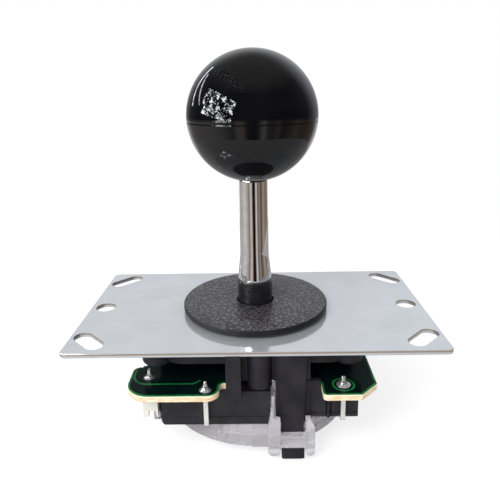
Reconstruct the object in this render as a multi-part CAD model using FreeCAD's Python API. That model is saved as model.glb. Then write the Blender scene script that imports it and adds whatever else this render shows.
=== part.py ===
import FreeCAD, Part
import math
import os
from FreeCAD import Matrix, Placement, Rotation, Vector

# Arcade joystick lever with a ball top, four microswitches and a clipped-on restrictor gate.
# Sizes are in millimetres. The origin is the centre of the mounting plate's top face, on the lever's axis.
# +X is to the right, +Y to the back, +Z up. Four-fold pieces are modelled at the front and turned about Z.

# Clearances
RUNNING_FIT = 0.05
SLIDING_GAP = 0.05
MOULDING_GAP = 0.15
LEVER_TILT = 10.0

# Mounting plate
PLATE_LENGTH = 95.0
PLATE_DEPTH = 53.0
PLATE_THICKNESS = 1.2
PLATE_CORNER_RADIUS = 1.6
PLATE_EDGE_BREAK = 0.15
CORNER_SLOT_INSET_X = 5.5
CORNER_SLOT_INSET_Y = 6.5
CORNER_SLOT_LENGTH = 10.8
CORNER_SLOT_WIDTH = 4.8
CORNER_SLOT_ANGLE = 45.0
END_HOLE_INSET = 4.2
END_HOLE_DIAMETER = 5.6
PLATE_BORE_DIAMETER = 15.0

# Plate screws, countersunk, hidden by the dust washer
SCREW_SPACING = 23.0
SCREW_SHANK_DIAMETER = 3.0
SCREW_HEAD_DIAMETER = 5.8
SCREW_LENGTH = 8.0
SCREW_SLOT_WIDTH = 0.8
SCREW_SLOT_DEPTH = 0.6

# Dust washer
WASHER_DIAMETER = 40.7
WASHER_TOP_HEIGHT = 2.3
WASHER_THICKNESS = 1.4
WASHER_HOLE_CLEARANCE = 0.35
WASHER_EDGE_BEVEL = 0.35
WASHER_RING_RADIUS = 10.0
WASHER_RING_WIDTH = 1.6

# Ball top and its threaded insert
BALL_DIAMETER = 35.0
BALL_CENTRE_HEIGHT = 54.2
BALL_FOOT_RADIUS = 5.4
BALL_FOOT_DEPTH = 0.5
INSERT_DIAMETER = 8.6
INSERT_LENGTH = 12.0
INSERT_FLANGE_DIAMETER = 7.4
INSERT_FLANGE_HEIGHT = 0.6

# Lever shaft
SHAFT_DIAMETER = 8.0
SHAFT_STUD_DIAMETER = 6.0
SHAFT_CONE_TOP = 15.0
SHAFT_CONE_FOOT = 8.9
SHAFT_SHOULDER_DIAMETER = 9.4
SHAFT_SHOULDER_HEIGHT = 8.35
SHAFT_JOURNAL_DIAMETER = 6.0
SHAFT_FOOT_HEIGHT = -27.4
SHAFT_END_CHAMFER = 0.4
DRIVER_SLOT_WIDTH = 1.2
DRIVER_SLOT_DEPTH = 1.6

# Pivot: a ball with a neck that reaches up to the shaft's shoulder
PIVOT_HEIGHT = -4.0
PIVOT_BALL_RADIUS = 6.0
PIVOT_NECK_DIAMETER = 9.8
PIVOT_FOOT_DEPTH = 4.6

# Housing
FLANGE_THICKNESS = 3.6
FLANGE_WIDTH = 49.0
FLANGE_DEPTH = 46.6
FLANGE_CORNER_RADIUS = 7.0
EAR_SPACING_X = 48.1
EAR_SPACING_Y = 38.6
EAR_SHIFT_X = 0.85
EAR_RADIUS = 3.9
EAR_FOOT_HEIGHT = -5.8
SEAT_CUP_RADIUS = 9.6
SEAT_CUP_FOOT_RADIUS = 8.8
SEAT_OPENING_DEPTH = 4.2
SEAT_FLOOR_HEIGHT = -9.0
SEAT_LIP_WIDTH = 1.1
SEAT_LIP_DEPTH = 0.5
SCREW_BOSS_RADIUS = 2.9
RIB_THICKNESS = 1.2
RIB_DEPTH = 3.4
BARREL_X = 0.95
BARREL_RADIUS = 3.05
BARREL_STAND = 0.3
BARREL_FOOT_HEIGHT = -10.6
GUIDE_LEFT = -7.3
GUIDE_RIGHT = -3.6
GUIDE_STAND = 1.5
GUIDE_FOOT_HEIGHT = -12.2
LEG_LEFT = 6.1
LEG_RIGHT = 11.65
LEG_DRAFT = 0.75
LEG_DRAFT_FOOT_HEIGHT = -18.5
LEG_STAND = 0.5
LEG_THICKNESS = 1.7
LEG_TIP_HEIGHT = -28.8
HOOK_REACH = 2.2
HOOK_NOSE = 1.0
HOOK_TIP_RADIUS = 1.2
BACKING_LEFT = 4.8
BACKING_RIGHT = 13.3
BACKING_SET_IN = 1.0
BACKING_FOOT_HEIGHT = -20.05
LEDGE_DEPTH = 1.5
LEDGE_RISE = 1.0

# Circuit board
BOARD_TOP_HEIGHT = -9.5
BOARD_THICKNESS = 1.6
BOARD_WIDTH = 59.0
BOARD_CORNER_CHAMFER = 4.4
NOTCH_END_RADIUS = 1.0
BOARD_BORE_DIAMETER = 18.8
NOTCH_LEFT = -9.0
NOTCH_STEP = -3.7
NOTCH_RIGHT = 16.0
NOTCH_STEP_BACK = 24.2
NOTCH_RIGHT_STEP_BACK = 23.6
NOTCH_BACK = 17.2
NOTCH_FILLET = 1.2
LOBE_END_RADIUS = 2.9
TAB_REACH = 3.7
TAB_BACK = -16.7
TAB_FRONT_RADIUS = 6.0
TAB_BACK_RADIUS = 1.8
LAND_REACH = 0.7
LAND_MARGIN = 0.3
LEAD_HOLE_GAP = 0.1

# Microswitches, in a pinwheel round the actuator
SWITCH_LENGTH = 27.7
ACTUATOR_GAP = 2.5
SWITCH_LEFT = -24.15
SWITCH_DEPTH = 15.9
SWITCH_HEIGHT = 9.1
COVER_HEIGHT = 2.15
SWITCH_END_CHAMFER = 1.3
COVER_END_CHAMFER = 1.4
COVER_EDGE_CHAMFER = 0.15
SEAM_CHAMFER = 0.15
END_GROOVE_Y = -18.0
END_GROOVE_WIDTH = 1.5
END_GROOVE_DEPTH = 0.9
SWITCH_HOLE_DIAMETER = 3.1
SWITCH_HOLE_SPACING = 16.2
PLUNGER_WIDTH = 2.8
PLUNGER_HEIGHT = 1.8
PLUNGER_REACH = 1.0
PLUNGER_TRAVEL = 1.0
PLUNGER_SUNK = 2.9
TERMINAL_WIDTH = 1.1
TERMINAL_THICKNESS = 0.6
TERMINAL_TOP_HEIGHT = -7.3
TERMINAL_FOOT_RISE = 0.75
OPEN_TERMINAL_INSET = 11.85
OPEN_TERMINAL_REACH = 1.2
COMMON_TERMINAL_INSET = 4.15
COMMON_TERMINAL_REACH = 0.85

# Solder joints
SOLDER_RADIUS = 1.4
SOLDER_HEIGHT = 1.6

# Connector header
HEADER_TOWER_GAP = 1.2
HEADER_WIDTH = 3.7
HEADER_LENGTH = 11.5
HEADER_HEIGHT = 6.3
HEADER_WALL = 0.8
HEADER_BASE = 1.4
HEADER_PIN_COUNT = 5
HEADER_PIN_PITCH = 2.0
HEADER_PIN_INSET = 2.2
HEADER_PIN_WIDTH = 0.6
ANCHOR_INSET_X = 1.05
ANCHOR_INSET_Y = 4.7
ANCHOR_DEPTH = 0.9
HEADER_WINDOW_HEIGHT = 1.6
HEADER_WALL_WINDOW_HEIGHT = 2.4
HEADER_NOTCH_WIDTH = 1.0
HEADER_NOTCH_TOP = 4.9
HEADER_NOTCH_FOOT = 2.1

# Spring seat, spring, actuator and retaining ring
SEAT_RING_DIAMETER = 14.8
SEAT_RING_THICKNESS = 0.8
SEAT_RING_BORE = 9.0
SEAT_SPIGOT_DIAMETER = 10.2
SEAT_SPIGOT_LENGTH = 0.8
SPRING_WIRE = 0.8
SPRING_MEAN_DIAMETER = 11.3
SPRING_TURNS = 3.25
ACTUATOR_TOP_HEIGHT = -14.6
ACTUATOR_FOOT_HEIGHT = -18.4
ACTUATOR_HUB_HEIGHT = -19.0
ACTUATOR_DIAMETER = 12.2
ACTUATOR_HUB_DIAMETER = 9.0
ACTUATOR_SPIGOT_LENGTH = 0.8
ACTUATOR_FILLET = 0.6
E_RING_THICKNESS = 0.7
E_RING_DIAMETER = 9.6
E_RING_GROOVE_DIAMETER = 4.8

# Restrictor gate
GATE_UPPER_STEP = 0.8
GATE_STEP_HEIGHT = -23.0
GATE_FOOT_HEIGHT = -26.0
GATE_FLOOR_THICKNESS = 2.0
GATE_WALL = 1.6
GATE_OPENING_RADIUS = 7.2
GATE_THROAT_WALL = 1.4
GATE_RIB_THICKNESS = 1.1
LUG_LEFT = 2.75
LUG_RIGHT = 14.2
LUG_STAND = 2.1
LUG_THICKNESS = 1.4
LUG_TOP_HEIGHT = -17.0
LUG_SHOULDER = 2.4
LUG_SHOULDER_WIDTH = 1.1
LUG_SPUR_HEIGHT = 2.4
LUG_SPUR_WIDTH = 0.65
LUG_TIP_HEIGHT = -27.2
LUG_EDGE_RADIUS = 1.1
LUG_SIDE_GAP = 0.3
BAR_STAND = 2.0
BAR_TOP_HEIGHT = -21.95
BAR_FOOT_HEIGHT = -25.1
BAR_GROOVE_DEPTH = 0.6
BAR_TOP_EDGE = 0.5
BAR_FOOT_EDGE = 0.7
LUG_SPUR_LEFT = 3.45
FIN_WIDTH = 0.8
FIN_TOP_HEIGHT = -12.6
FIN_DEPTH = 2.4
PAD_LEFT = -1.2

# Places that follow from the sizes above
PLATE_UNDERSIDE = -PLATE_THICKNESS
BOARD_HALF = BOARD_WIDTH / 2
SWITCH_INNER = ACTUATOR_DIAMETER / 2 + ACTUATOR_GAP + PLUNGER_REACH
SWITCH_OUTER = SWITCH_INNER + SWITCH_DEPTH
SWITCH_RIGHT = SWITCH_LEFT + SWITCH_LENGTH
OPEN_TERMINAL_X = SWITCH_LEFT + OPEN_TERMINAL_INSET
COMMON_TERMINAL_Y = COMMON_TERMINAL_INSET - SWITCH_OUTER
BARREL_FRONT = SWITCH_OUTER + BARREL_STAND
GUIDE_FRONT = SWITCH_OUTER + GUIDE_STAND
LEG_FRONT = SWITCH_OUTER + LEG_STAND
BACKING_FRONT = LEG_FRONT - BACKING_SET_IN
GATE_RADIUS = LEG_FRONT
GATE_UPPER_RADIUS = GATE_RADIUS - GATE_UPPER_STEP
LUG_FRONT = LEG_FRONT + LUG_STAND
BAR_FRONT = LEG_FRONT + BAR_STAND
HEADER_RIGHT = SWITCH_LEFT - MOULDING_GAP
HEADER_LEFT = HEADER_RIGHT - HEADER_WIDTH
HEADER_BACK = -BACKING_RIGHT - HEADER_TOWER_GAP
HEADER_FRONT = HEADER_BACK - HEADER_LENGTH
TAB_LEFT = HEADER_LEFT - TAB_REACH
LAND_LEFT = HEADER_LEFT - LAND_REACH
LAND_BACK = HEADER_BACK + LAND_MARGIN
HEADER_PIN_X = HEADER_LEFT + HEADER_PIN_INSET
ANCHOR_X = HEADER_LEFT + ANCHOR_INSET_X
ANCHOR_Y = HEADER_FRONT + ANCHOR_INSET_Y
FLANGE_UNDERSIDE = PLATE_UNDERSIDE - FLANGE_THICKNESS
BOARD_UNDERSIDE = BOARD_TOP_HEIGHT - BOARD_THICKNESS
SWITCH_TOP = BOARD_UNDERSIDE
SWITCH_FOOT = SWITCH_TOP - SWITCH_HEIGHT
SWITCH_SEAM = SWITCH_FOOT + COVER_HEIGHT
PLUNGER_CENTRE_HEIGHT = (SWITCH_TOP + SWITCH_FOOT) / 2
GATE_TOP = SWITCH_FOOT
GATE_FLOOR_TOP = GATE_FOOT_HEIGHT + GATE_FLOOR_THICKNESS
BALL_FOOT_HEIGHT = BALL_CENTRE_HEIGHT - math.sqrt((BALL_DIAMETER / 2) ** 2 - BALL_FOOT_RADIUS**2)
SHAFT_TOP = BALL_FOOT_HEIGHT + BALL_FOOT_DEPTH - INSERT_FLANGE_HEIGHT
SEAT_RADIUS = PIVOT_BALL_RADIUS + RUNNING_FIT
E_RING_TOP = ACTUATOR_HUB_HEIGHT - RUNNING_FIT
UP = Vector(0, 0, 1)


def box(x0, x1, y0, y1, z0, z1):
    """A block between two corners, given as its limits along each axis."""
    low = Vector(min(x0, x1), min(y0, y1), min(z0, z1))
    return Part.makeBox(abs(x1 - x0), abs(y1 - y0), abs(z1 - z0), low)


def cylinder(x, y, radius, z0, z1):
    return Part.makeCylinder(radius, abs(z1 - z0), Vector(x, y, min(z0, z1)))


def revolve(points):
    """A solid of revolution about Z from (radius, height) points."""
    corners = [Vector(r, 0, z) for r, z in points]
    face = Part.Face(Part.makePolygon(corners + [corners[0]]))
    return face.revolve(Vector(0, 0, 0), UP, 360)


def prism(points, z0, z1):
    """An upright prism from (x, y) points."""
    corners = [Vector(x, y, min(z0, z1)) for x, y in points]
    face = Part.Face(Part.makePolygon(corners + [corners[0]]))
    return face.extrude(Vector(0, 0, abs(z1 - z0)))


def side_prism(points, x0, x1):
    """A prism along X from (y, z) points."""
    corners = [Vector(min(x0, x1), y, z) for y, z in points]
    face = Part.Face(Part.makePolygon(corners + [corners[0]]))
    return face.extrude(Vector(abs(x1 - x0), 0, 0))


def front_prism(points, y0, y1):
    """Extrudes an outline of (x, z) points from y0 to y1."""
    corners = [Vector(x, y0, z) for x, z in points]
    face = Part.Face(Part.makePolygon(corners + [corners[0]]))
    return face.extrude(Vector(0, y1 - y0, 0))


def slot_prism(x, y, length, width, angle, z0, z1):
    """A round-ended slot, length from end to end, turned by angle about Z."""
    half = (length - width) / 2
    body = box(-half, half, -width / 2, width / 2, z0, z1)
    for end in (-half, half):
        body = body.fuse(cylinder(end, 0, width / 2, z0, z1))
    body = body.removeSplitter()
    body.Placement = Placement(Vector(x, y, 0), Rotation(UP, angle))
    return body


def turned(shape, degrees):
    copy = shape.copy()
    copy.rotate(Vector(0, 0, 0), UP, degrees)
    return copy


def four_ways(shape):
    return [turned(shape, quarter * 90) for quarter in range(4)]


def fuse(shapes):
    return shapes[0].multiFuse(shapes[1:]).removeSplitter()


def upright_edges(shape, test):
    """The shape's vertical straight edges whose middle point passes the test."""
    found = []
    for edge in shape.Edges:
        low, high = edge.Vertexes[0].Point, edge.Vertexes[-1].Point
        if math.hypot(high.x - low.x, high.y - low.y) < 1e-6 and abs(high.z - low.z) > 1e-3:
            if test((low + high) * 0.5):
                found.append(edge)
    return found


def edges_at_height(shape, height, test=lambda middle: True):
    """The shape's edges that lie level at this height and whose centre passes the test."""
    found = []
    for edge in shape.Edges:
        bounds = edge.BoundBox
        if abs(bounds.ZMin - height) < 1e-4 and abs(bounds.ZMax - height) < 1e-4:
            if test(bounds.Center):
                found.append(edge)
    return found


def mounting_plate():
    """Flat steel plate with slanted corner slots, round end holes and countersunk screw holes."""
    half_length = PLATE_LENGTH / 2
    half_depth = PLATE_DEPTH / 2
    plate = box(-half_length, half_length, -half_depth, half_depth, PLATE_UNDERSIDE, 0)
    plate = plate.makeFillet(PLATE_CORNER_RADIUS, upright_edges(plate, lambda middle: True))
    rims = edges_at_height(plate, 0) + edges_at_height(plate, PLATE_UNDERSIDE)
    plate = plate.makeChamfer(PLATE_EDGE_BREAK, rims)
    cuts = [cylinder(0, 0, PLATE_BORE_DIAMETER / 2, -PLATE_THICKNESS - 1, 1)]
    for side in (-1, 1):
        end_x = side * (half_length - END_HOLE_INSET)
        cuts.append(cylinder(end_x, 0, END_HOLE_DIAMETER / 2, -PLATE_THICKNESS - 1, 1))
        for end in (-1, 1):
            x = side * (half_length - CORNER_SLOT_INSET_X)
            y = end * (half_depth - CORNER_SLOT_INSET_Y)
            angle = -side * end * CORNER_SLOT_ANGLE
            cuts.append(
                slot_prism(x, y, CORNER_SLOT_LENGTH, CORNER_SLOT_WIDTH, angle, -PLATE_THICKNESS - 1, 1)
            )
            cuts.append(screw_form(side, end))
    return plate.cut(fuse(cuts))


def screw_form(side, end):
    """The outside of one countersunk screw, without its driver slot."""
    head = SCREW_HEAD_DIAMETER / 2
    shank = SCREW_SHANK_DIAMETER / 2
    screw = revolve([(0, 0), (head, 0), (shank, shank - head), (shank, -SCREW_LENGTH), (0, -SCREW_LENGTH)])
    screw.translate(Vector(side * SCREW_SPACING / 2, end * SCREW_SPACING / 2, 0))
    return screw


def plate_screws():
    screws = []
    for side in (-1, 1):
        for end in (-1, 1):
            x = side * SCREW_SPACING / 2
            y = end * SCREW_SPACING / 2
            reach = SCREW_HEAD_DIAMETER
            half = SCREW_SLOT_WIDTH / 2
            slot = box(x - reach, x + reach, y - half, y + half, -SCREW_SLOT_DEPTH, 1)
            screws.append(screw_form(side, end).cut(slot))
    return Part.makeCompound(screws)


def dust_washer():
    """Thin disc round the pivot's neck, lying on the plate on a low ring under the disc."""
    rim = WASHER_DIAMETER / 2
    hole = PIVOT_NECK_DIAMETER / 2 + WASHER_HOLE_CLEARANCE
    top = WASHER_TOP_HEIGHT
    under = top - WASHER_THICKNESS
    bevel = WASHER_EDGE_BEVEL
    ring_in = WASHER_RING_RADIUS - WASHER_RING_WIDTH / 2
    ring_out = WASHER_RING_RADIUS + WASHER_RING_WIDTH / 2
    profile = [
        (hole, top), (rim - bevel, top), (rim, top - bevel), (rim, under),
        (ring_out, under), (ring_out, SLIDING_GAP), (ring_in, SLIDING_GAP), (ring_in, under), (hole, under),
    ]
    return revolve(profile)


def ball_top():
    """Moulded sphere with a small flat foot round the insert."""
    ball = Part.makeSphere(BALL_DIAMETER / 2, Vector(0, 0, BALL_CENTRE_HEIGHT))
    below = cylinder(0, 0, BALL_DIAMETER, BALL_CENTRE_HEIGHT - BALL_DIAMETER, BALL_FOOT_HEIGHT)
    foot = Part.makeCone(
        INSERT_DIAMETER / 2 + 0.5, INSERT_DIAMETER / 2, BALL_FOOT_DEPTH, Vector(0, 0, BALL_FOOT_HEIGHT)
    )
    bore = cylinder(0, 0, INSERT_DIAMETER / 2, BALL_FOOT_HEIGHT, SHAFT_TOP + INSERT_FLANGE_HEIGHT + INSERT_LENGTH)
    return ball.cut(fuse([below, foot, bore]))


def ball_insert():
    """Brass thread insert: a short flange for the shaft to seat on, and the threaded body in the ball."""
    flange = INSERT_FLANGE_DIAMETER / 2
    body = INSERT_DIAMETER / 2
    bore = SHAFT_STUD_DIAMETER / 2
    shoulder = SHAFT_TOP + INSERT_FLANGE_HEIGHT
    top = shoulder + INSERT_LENGTH
    return revolve([(bore, SHAFT_TOP), (flange, SHAFT_TOP), (flange, shoulder), (body, shoulder), (body, top), (bore, top)])


def lever_shaft():
    """Turned steel shaft: stud, long plain rod, tapered shoulder, journal, ring groove and driver slot."""
    stud = SHAFT_STUD_DIAMETER / 2
    rod = SHAFT_DIAMETER / 2
    shoulder = SHAFT_SHOULDER_DIAMETER / 2
    journal = SHAFT_JOURNAL_DIAMETER / 2
    groove = E_RING_GROOVE_DIAMETER / 2
    stud_top = SHAFT_TOP + INSERT_FLANGE_HEIGHT + INSERT_LENGTH - 1
    chamfer = SHAFT_END_CHAMFER
    groove_foot = E_RING_TOP - E_RING_THICKNESS
    profile = [
        (0, stud_top), (stud - chamfer, stud_top), (stud, stud_top - chamfer), (stud, SHAFT_TOP),
        (rod - chamfer, SHAFT_TOP), (rod, SHAFT_TOP - chamfer), (rod, SHAFT_CONE_TOP),
        (shoulder, SHAFT_CONE_FOOT), (shoulder, SHAFT_SHOULDER_HEIGHT), (journal, SHAFT_SHOULDER_HEIGHT),
        (journal, E_RING_TOP), (groove, E_RING_TOP), (groove, groove_foot), (journal, groove_foot),
        (journal, SHAFT_FOOT_HEIGHT + chamfer), (journal - chamfer, SHAFT_FOOT_HEIGHT), (0, SHAFT_FOOT_HEIGHT),
    ]
    half = DRIVER_SLOT_WIDTH / 2
    slot = box(-SHAFT_DIAMETER, SHAFT_DIAMETER, -half, half, SHAFT_FOOT_HEIGHT - 1, SHAFT_FOOT_HEIGHT + DRIVER_SLOT_DEPTH)
    return revolve(profile).cut(slot)


def pivot():
    """Moulded pivot: the ball that sits in the housing, with the neck up to the shaft's shoulder."""
    neck_top = SHAFT_SHOULDER_HEIGHT - RUNNING_FIT
    foot = PIVOT_HEIGHT - PIVOT_FOOT_DEPTH
    ball = Part.makeSphere(PIVOT_BALL_RADIUS, Vector(0, 0, PIVOT_HEIGHT))
    below = cylinder(0, 0, PIVOT_BALL_RADIUS + 1, foot, foot - PIVOT_BALL_RADIUS)
    neck = cylinder(0, 0, PIVOT_NECK_DIAMETER / 2, PIVOT_HEIGHT, neck_top)
    neck = neck.makeChamfer(0.25, edges_at_height(neck, neck_top))
    bore = cylinder(0, 0, SHAFT_JOURNAL_DIAMETER / 2 + RUNNING_FIT, foot - 1, neck_top + 1)
    return ball.cut(below).fuse(neck).removeSplitter().cut(bore)


def housing_flange():
    """Flat top of the housing with an ear at each corner, rounded underneath."""
    half_width = FLANGE_WIDTH / 2
    half_depth = FLANGE_DEPTH / 2
    flange = box(-half_width, half_width, -half_depth, half_depth, FLANGE_UNDERSIDE, PLATE_UNDERSIDE)
    flange = flange.makeFillet(FLANGE_CORNER_RADIUS, upright_edges(flange, lambda middle: True))
    pieces = [flange]
    for side in (-1, 1):
        for end in (-1, 1):
            x = side * EAR_SPACING_X / 2 + end * EAR_SHIFT_X
            ear = cylinder(x, end * EAR_SPACING_Y / 2, EAR_RADIUS, EAR_FOOT_HEIGHT, PLATE_UNDERSIDE)
            foot_depth = FLANGE_UNDERSIDE - EAR_FOOT_HEIGHT
            pieces.append(ear.makeFillet(foot_depth * 0.9, edges_at_height(ear, EAR_FOOT_HEIGHT)))
    return fuse(pieces)


def housing_cup():
    """Conical cup under the flange that holds the pivot's seat, with ribs out to the flange."""
    cup = revolve([
        (0, PLATE_UNDERSIDE), (SEAT_CUP_RADIUS, PLATE_UNDERSIDE), (SEAT_CUP_FOOT_RADIUS, SEAT_FLOOR_HEIGHT),
        (0, SEAT_FLOOR_HEIGHT),
    ])
    lip_out = SEAT_CUP_FOOT_RADIUS
    lip_in = lip_out - SEAT_LIP_WIDTH
    lip = cylinder(0, 0, lip_out, SEAT_FLOOR_HEIGHT - SEAT_LIP_DEPTH, SEAT_FLOOR_HEIGHT)
    lip = lip.cut(cylinder(0, 0, lip_in, SEAT_FLOOR_HEIGHT - SEAT_LIP_DEPTH, SEAT_FLOOR_HEIGHT))
    pieces = [cup, lip]
    half = RIB_THICKNESS / 2
    reach = FLANGE_DEPTH / 2 - RIB_THICKNESS
    rib = box(-half, half, -reach, 0, FLANGE_UNDERSIDE - RIB_DEPTH, FLANGE_UNDERSIDE)
    slope = side_prism([
        (-reach, FLANGE_UNDERSIDE), (-reach - 1, FLANGE_UNDERSIDE - RIB_DEPTH - 1),
        (-SEAT_CUP_RADIUS, FLANGE_UNDERSIDE - RIB_DEPTH - 1), (-SEAT_CUP_RADIUS - 1, FLANGE_UNDERSIDE - RIB_DEPTH),
    ], -half, half)
    pieces += [turned(rib.cut(slope), 45 + quarter * 90) for quarter in range(4)]
    for side in (-1, 1):
        for end in (-1, 1):
            x = side * SCREW_SPACING / 2
            y = end * SCREW_SPACING / 2
            pieces.append(cylinder(x, y, SCREW_BOSS_RADIUS, SEAT_FLOOR_HEIGHT, PLATE_UNDERSIDE))
    return pieces


def housing_tower():
    """One side's group, at the front: barrel, switch guide, hooked leg and the wall that joins them."""
    barrel_y = -(BARREL_FRONT - BARREL_RADIUS)
    barrel = cylinder(BARREL_X, barrel_y, BARREL_RADIUS, BARREL_FOOT_HEIGHT, PLATE_UNDERSIDE)
    back = -(FLANGE_DEPTH / 2 - RIB_THICKNESS)
    guide_upper = box(GUIDE_LEFT, GUIDE_RIGHT, -GUIDE_FRONT, back, BOARD_TOP_HEIGHT, FLANGE_UNDERSIDE)
    guide_top = box(GUIDE_LEFT, GUIDE_RIGHT, -GUIDE_FRONT, back, FLANGE_UNDERSIDE, PLATE_UNDERSIDE)
    guide_lower = box(
        GUIDE_LEFT, GUIDE_RIGHT, -GUIDE_FRONT, -SWITCH_OUTER - MOULDING_GAP, GUIDE_FOOT_HEIGHT, BOARD_TOP_HEIGHT
    )
    leg_back = -(LEG_FRONT - LEG_THICKNESS)
    leg = box(LEG_LEFT, LEG_RIGHT, -LEG_FRONT, leg_back, LEG_TIP_HEIGHT, PLATE_UNDERSIDE)
    hook_top = BAR_FOOT_HEIGHT - MOULDING_GAP
    hook_front = -(LEG_FRONT + HOOK_REACH)
    hook = side_prism([
        (leg_back, hook_top), (hook_front, hook_top), (hook_front, LEG_TIP_HEIGHT + HOOK_NOSE),
        (hook_front + HOOK_NOSE, LEG_TIP_HEIGHT), (leg_back, LEG_TIP_HEIGHT),
    ], LEG_LEFT, LEG_RIGHT)
    draft = front_prism([
        (LEG_LEFT - LEG_DRAFT, PLATE_UNDERSIDE), (LEG_LEFT, LEG_DRAFT_FOOT_HEIGHT), (LEG_RIGHT, LEG_DRAFT_FOOT_HEIGHT),
        (LEG_RIGHT + LEG_DRAFT, PLATE_UNDERSIDE),
    ], -LEG_FRONT, leg_back)
    leg = fuse([leg, draft, hook])
    corners = [
        edge for edge in leg.Edges
        if abs(edge.BoundBox.ZMax - LEG_TIP_HEIGHT) < 1e-4 and edge.BoundBox.YLength > 1
    ]
    leg = leg.makeFillet(HOOK_TIP_RADIUS, corners)
    wall = box(GUIDE_LEFT, LEG_RIGHT, back - RIB_THICKNESS, back, BOARD_TOP_HEIGHT, PLATE_UNDERSIDE)
    root = box(LEG_LEFT, LEG_RIGHT, -LEG_FRONT, back, BOARD_TOP_HEIGHT, PLATE_UNDERSIDE)
    backing = box(BACKING_LEFT, BACKING_RIGHT, -BACKING_FRONT, leg_back, BACKING_FOOT_HEIGHT, PLATE_UNDERSIDE)
    return [barrel, guide_upper, guide_top, guide_lower, leg, wall, root, backing]


def housing_ledge():
    """The shelf on the right of a leg that fills the small step of the board's notch."""
    back = -NOTCH_RIGHT_STEP_BACK - MOULDING_GAP
    ledge = box(
        LEG_RIGHT - 1, NOTCH_RIGHT - MOULDING_GAP, back - LEDGE_DEPTH, back, BOARD_UNDERSIDE + MOULDING_GAP,
        BOARD_TOP_HEIGHT + LEDGE_RISE,
    )
    corner = upright_edges(ledge, lambda middle: middle.x > LEG_RIGHT and middle.y > back - 0.1)
    return ledge.makeFillet(NOTCH_FILLET - MOULDING_GAP, corner)


def housing():
    """The one-piece moulding that carries everything: flange, cup with its round seat, and four towers."""
    tower = fuse(housing_tower())
    # No ledge on the left: the board's tab for the header fills its notch there.
    ledges = [turned(housing_ledge(), quarter * 90) for quarter in (0, 1, 2)]
    body = fuse([housing_flange()] + housing_cup() + four_ways(tower) + ledges)
    opening_height = PIVOT_HEIGHT - SEAT_OPENING_DEPTH
    opening = math.sqrt(SEAT_RADIUS**2 - SEAT_OPENING_DEPTH**2)
    seat = Part.makeSphere(SEAT_RADIUS, Vector(0, 0, PIVOT_HEIGHT))
    entry = cylinder(0, 0, SEAT_RADIUS, PIVOT_HEIGHT, 1)
    exit_cone = Part.makeCone(
        opening + (opening_height - SEAT_FLOOR_HEIGHT) * 0.4, opening, opening_height - SEAT_FLOOR_HEIGHT,
        Vector(0, 0, SEAT_FLOOR_HEIGHT),
    )
    below = cylinder(0, 0, PIVOT_BALL_RADIUS + 1, opening_height, opening_height - PIVOT_BALL_RADIUS)
    cavity = fuse([seat.cut(below), entry, exit_cone])
    screws = [screw_form(side, end) for side in (-1, 1) for end in (-1, 1)]
    return body.cut(fuse([cavity] + screws))


def board_notch(first=NOTCH_LEFT):
    """The front notch that the tower passes through: a shallow step for the guide, then deep for the rest."""
    front = BOARD_WIDTH / 2 + 5
    low = BOARD_UNDERSIDE - 1
    high = BOARD_TOP_HEIGHT + 1
    step = box(first, NOTCH_STEP + 3, -front, -NOTCH_STEP_BACK, low, high)
    deep = box(NOTCH_STEP, BACKING_RIGHT + MOULDING_GAP, -front, -NOTCH_BACK, low, high)
    right_step = box(0, NOTCH_RIGHT, -front, -NOTCH_RIGHT_STEP_BACK, low, high)
    notch = fuse([step, deep, right_step])
    inner = upright_edges(notch, lambda middle: middle.y > -front + 1)
    return notch.makeFillet(NOTCH_FILLET, inner)


def board_tab():
    """The tab at the front left corner that carries the connector header."""
    front = -BOARD_WIDTH / 2
    tab = box(TAB_LEFT, 0, front, TAB_BACK, BOARD_UNDERSIDE, BOARD_TOP_HEIGHT)
    front_corner = upright_edges(tab, lambda middle: middle.x < TAB_LEFT + 0.01 and middle.y < front + 0.01)
    tab = tab.makeFillet(TAB_FRONT_RADIUS, front_corner)
    back_corner = upright_edges(tab, lambda middle: middle.x < TAB_LEFT + 0.01 and middle.y > TAB_BACK - 0.01)
    return tab.makeFillet(TAB_BACK_RADIUS, back_corner)


def lead_holes():
    """Holes in the board for the switch blades and the header's anchor, a little larger than each."""
    leads = [header_anchor()]
    for quarter in range(4):
        leads += terminals_of(quarter).Solids
    return [grown_box(lead) for lead in leads if lead.BoundBox.ZMax > BOARD_TOP_HEIGHT]


def grown_box(lead):
    """A block round the part of a lead that passes through the board."""
    slab = box(-BOARD_WIDTH, BOARD_WIDTH, -BOARD_WIDTH, BOARD_WIDTH, BOARD_UNDERSIDE, BOARD_TOP_HEIGHT)
    bounds = lead.common(slab).BoundBox
    gap = LEAD_HOLE_GAP
    return box(
        bounds.XMin - gap, bounds.XMax + gap, bounds.YMin - gap, bounds.YMax + gap,
        BOARD_UNDERSIDE - 1, BOARD_TOP_HEIGHT + 1,
    )


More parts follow.
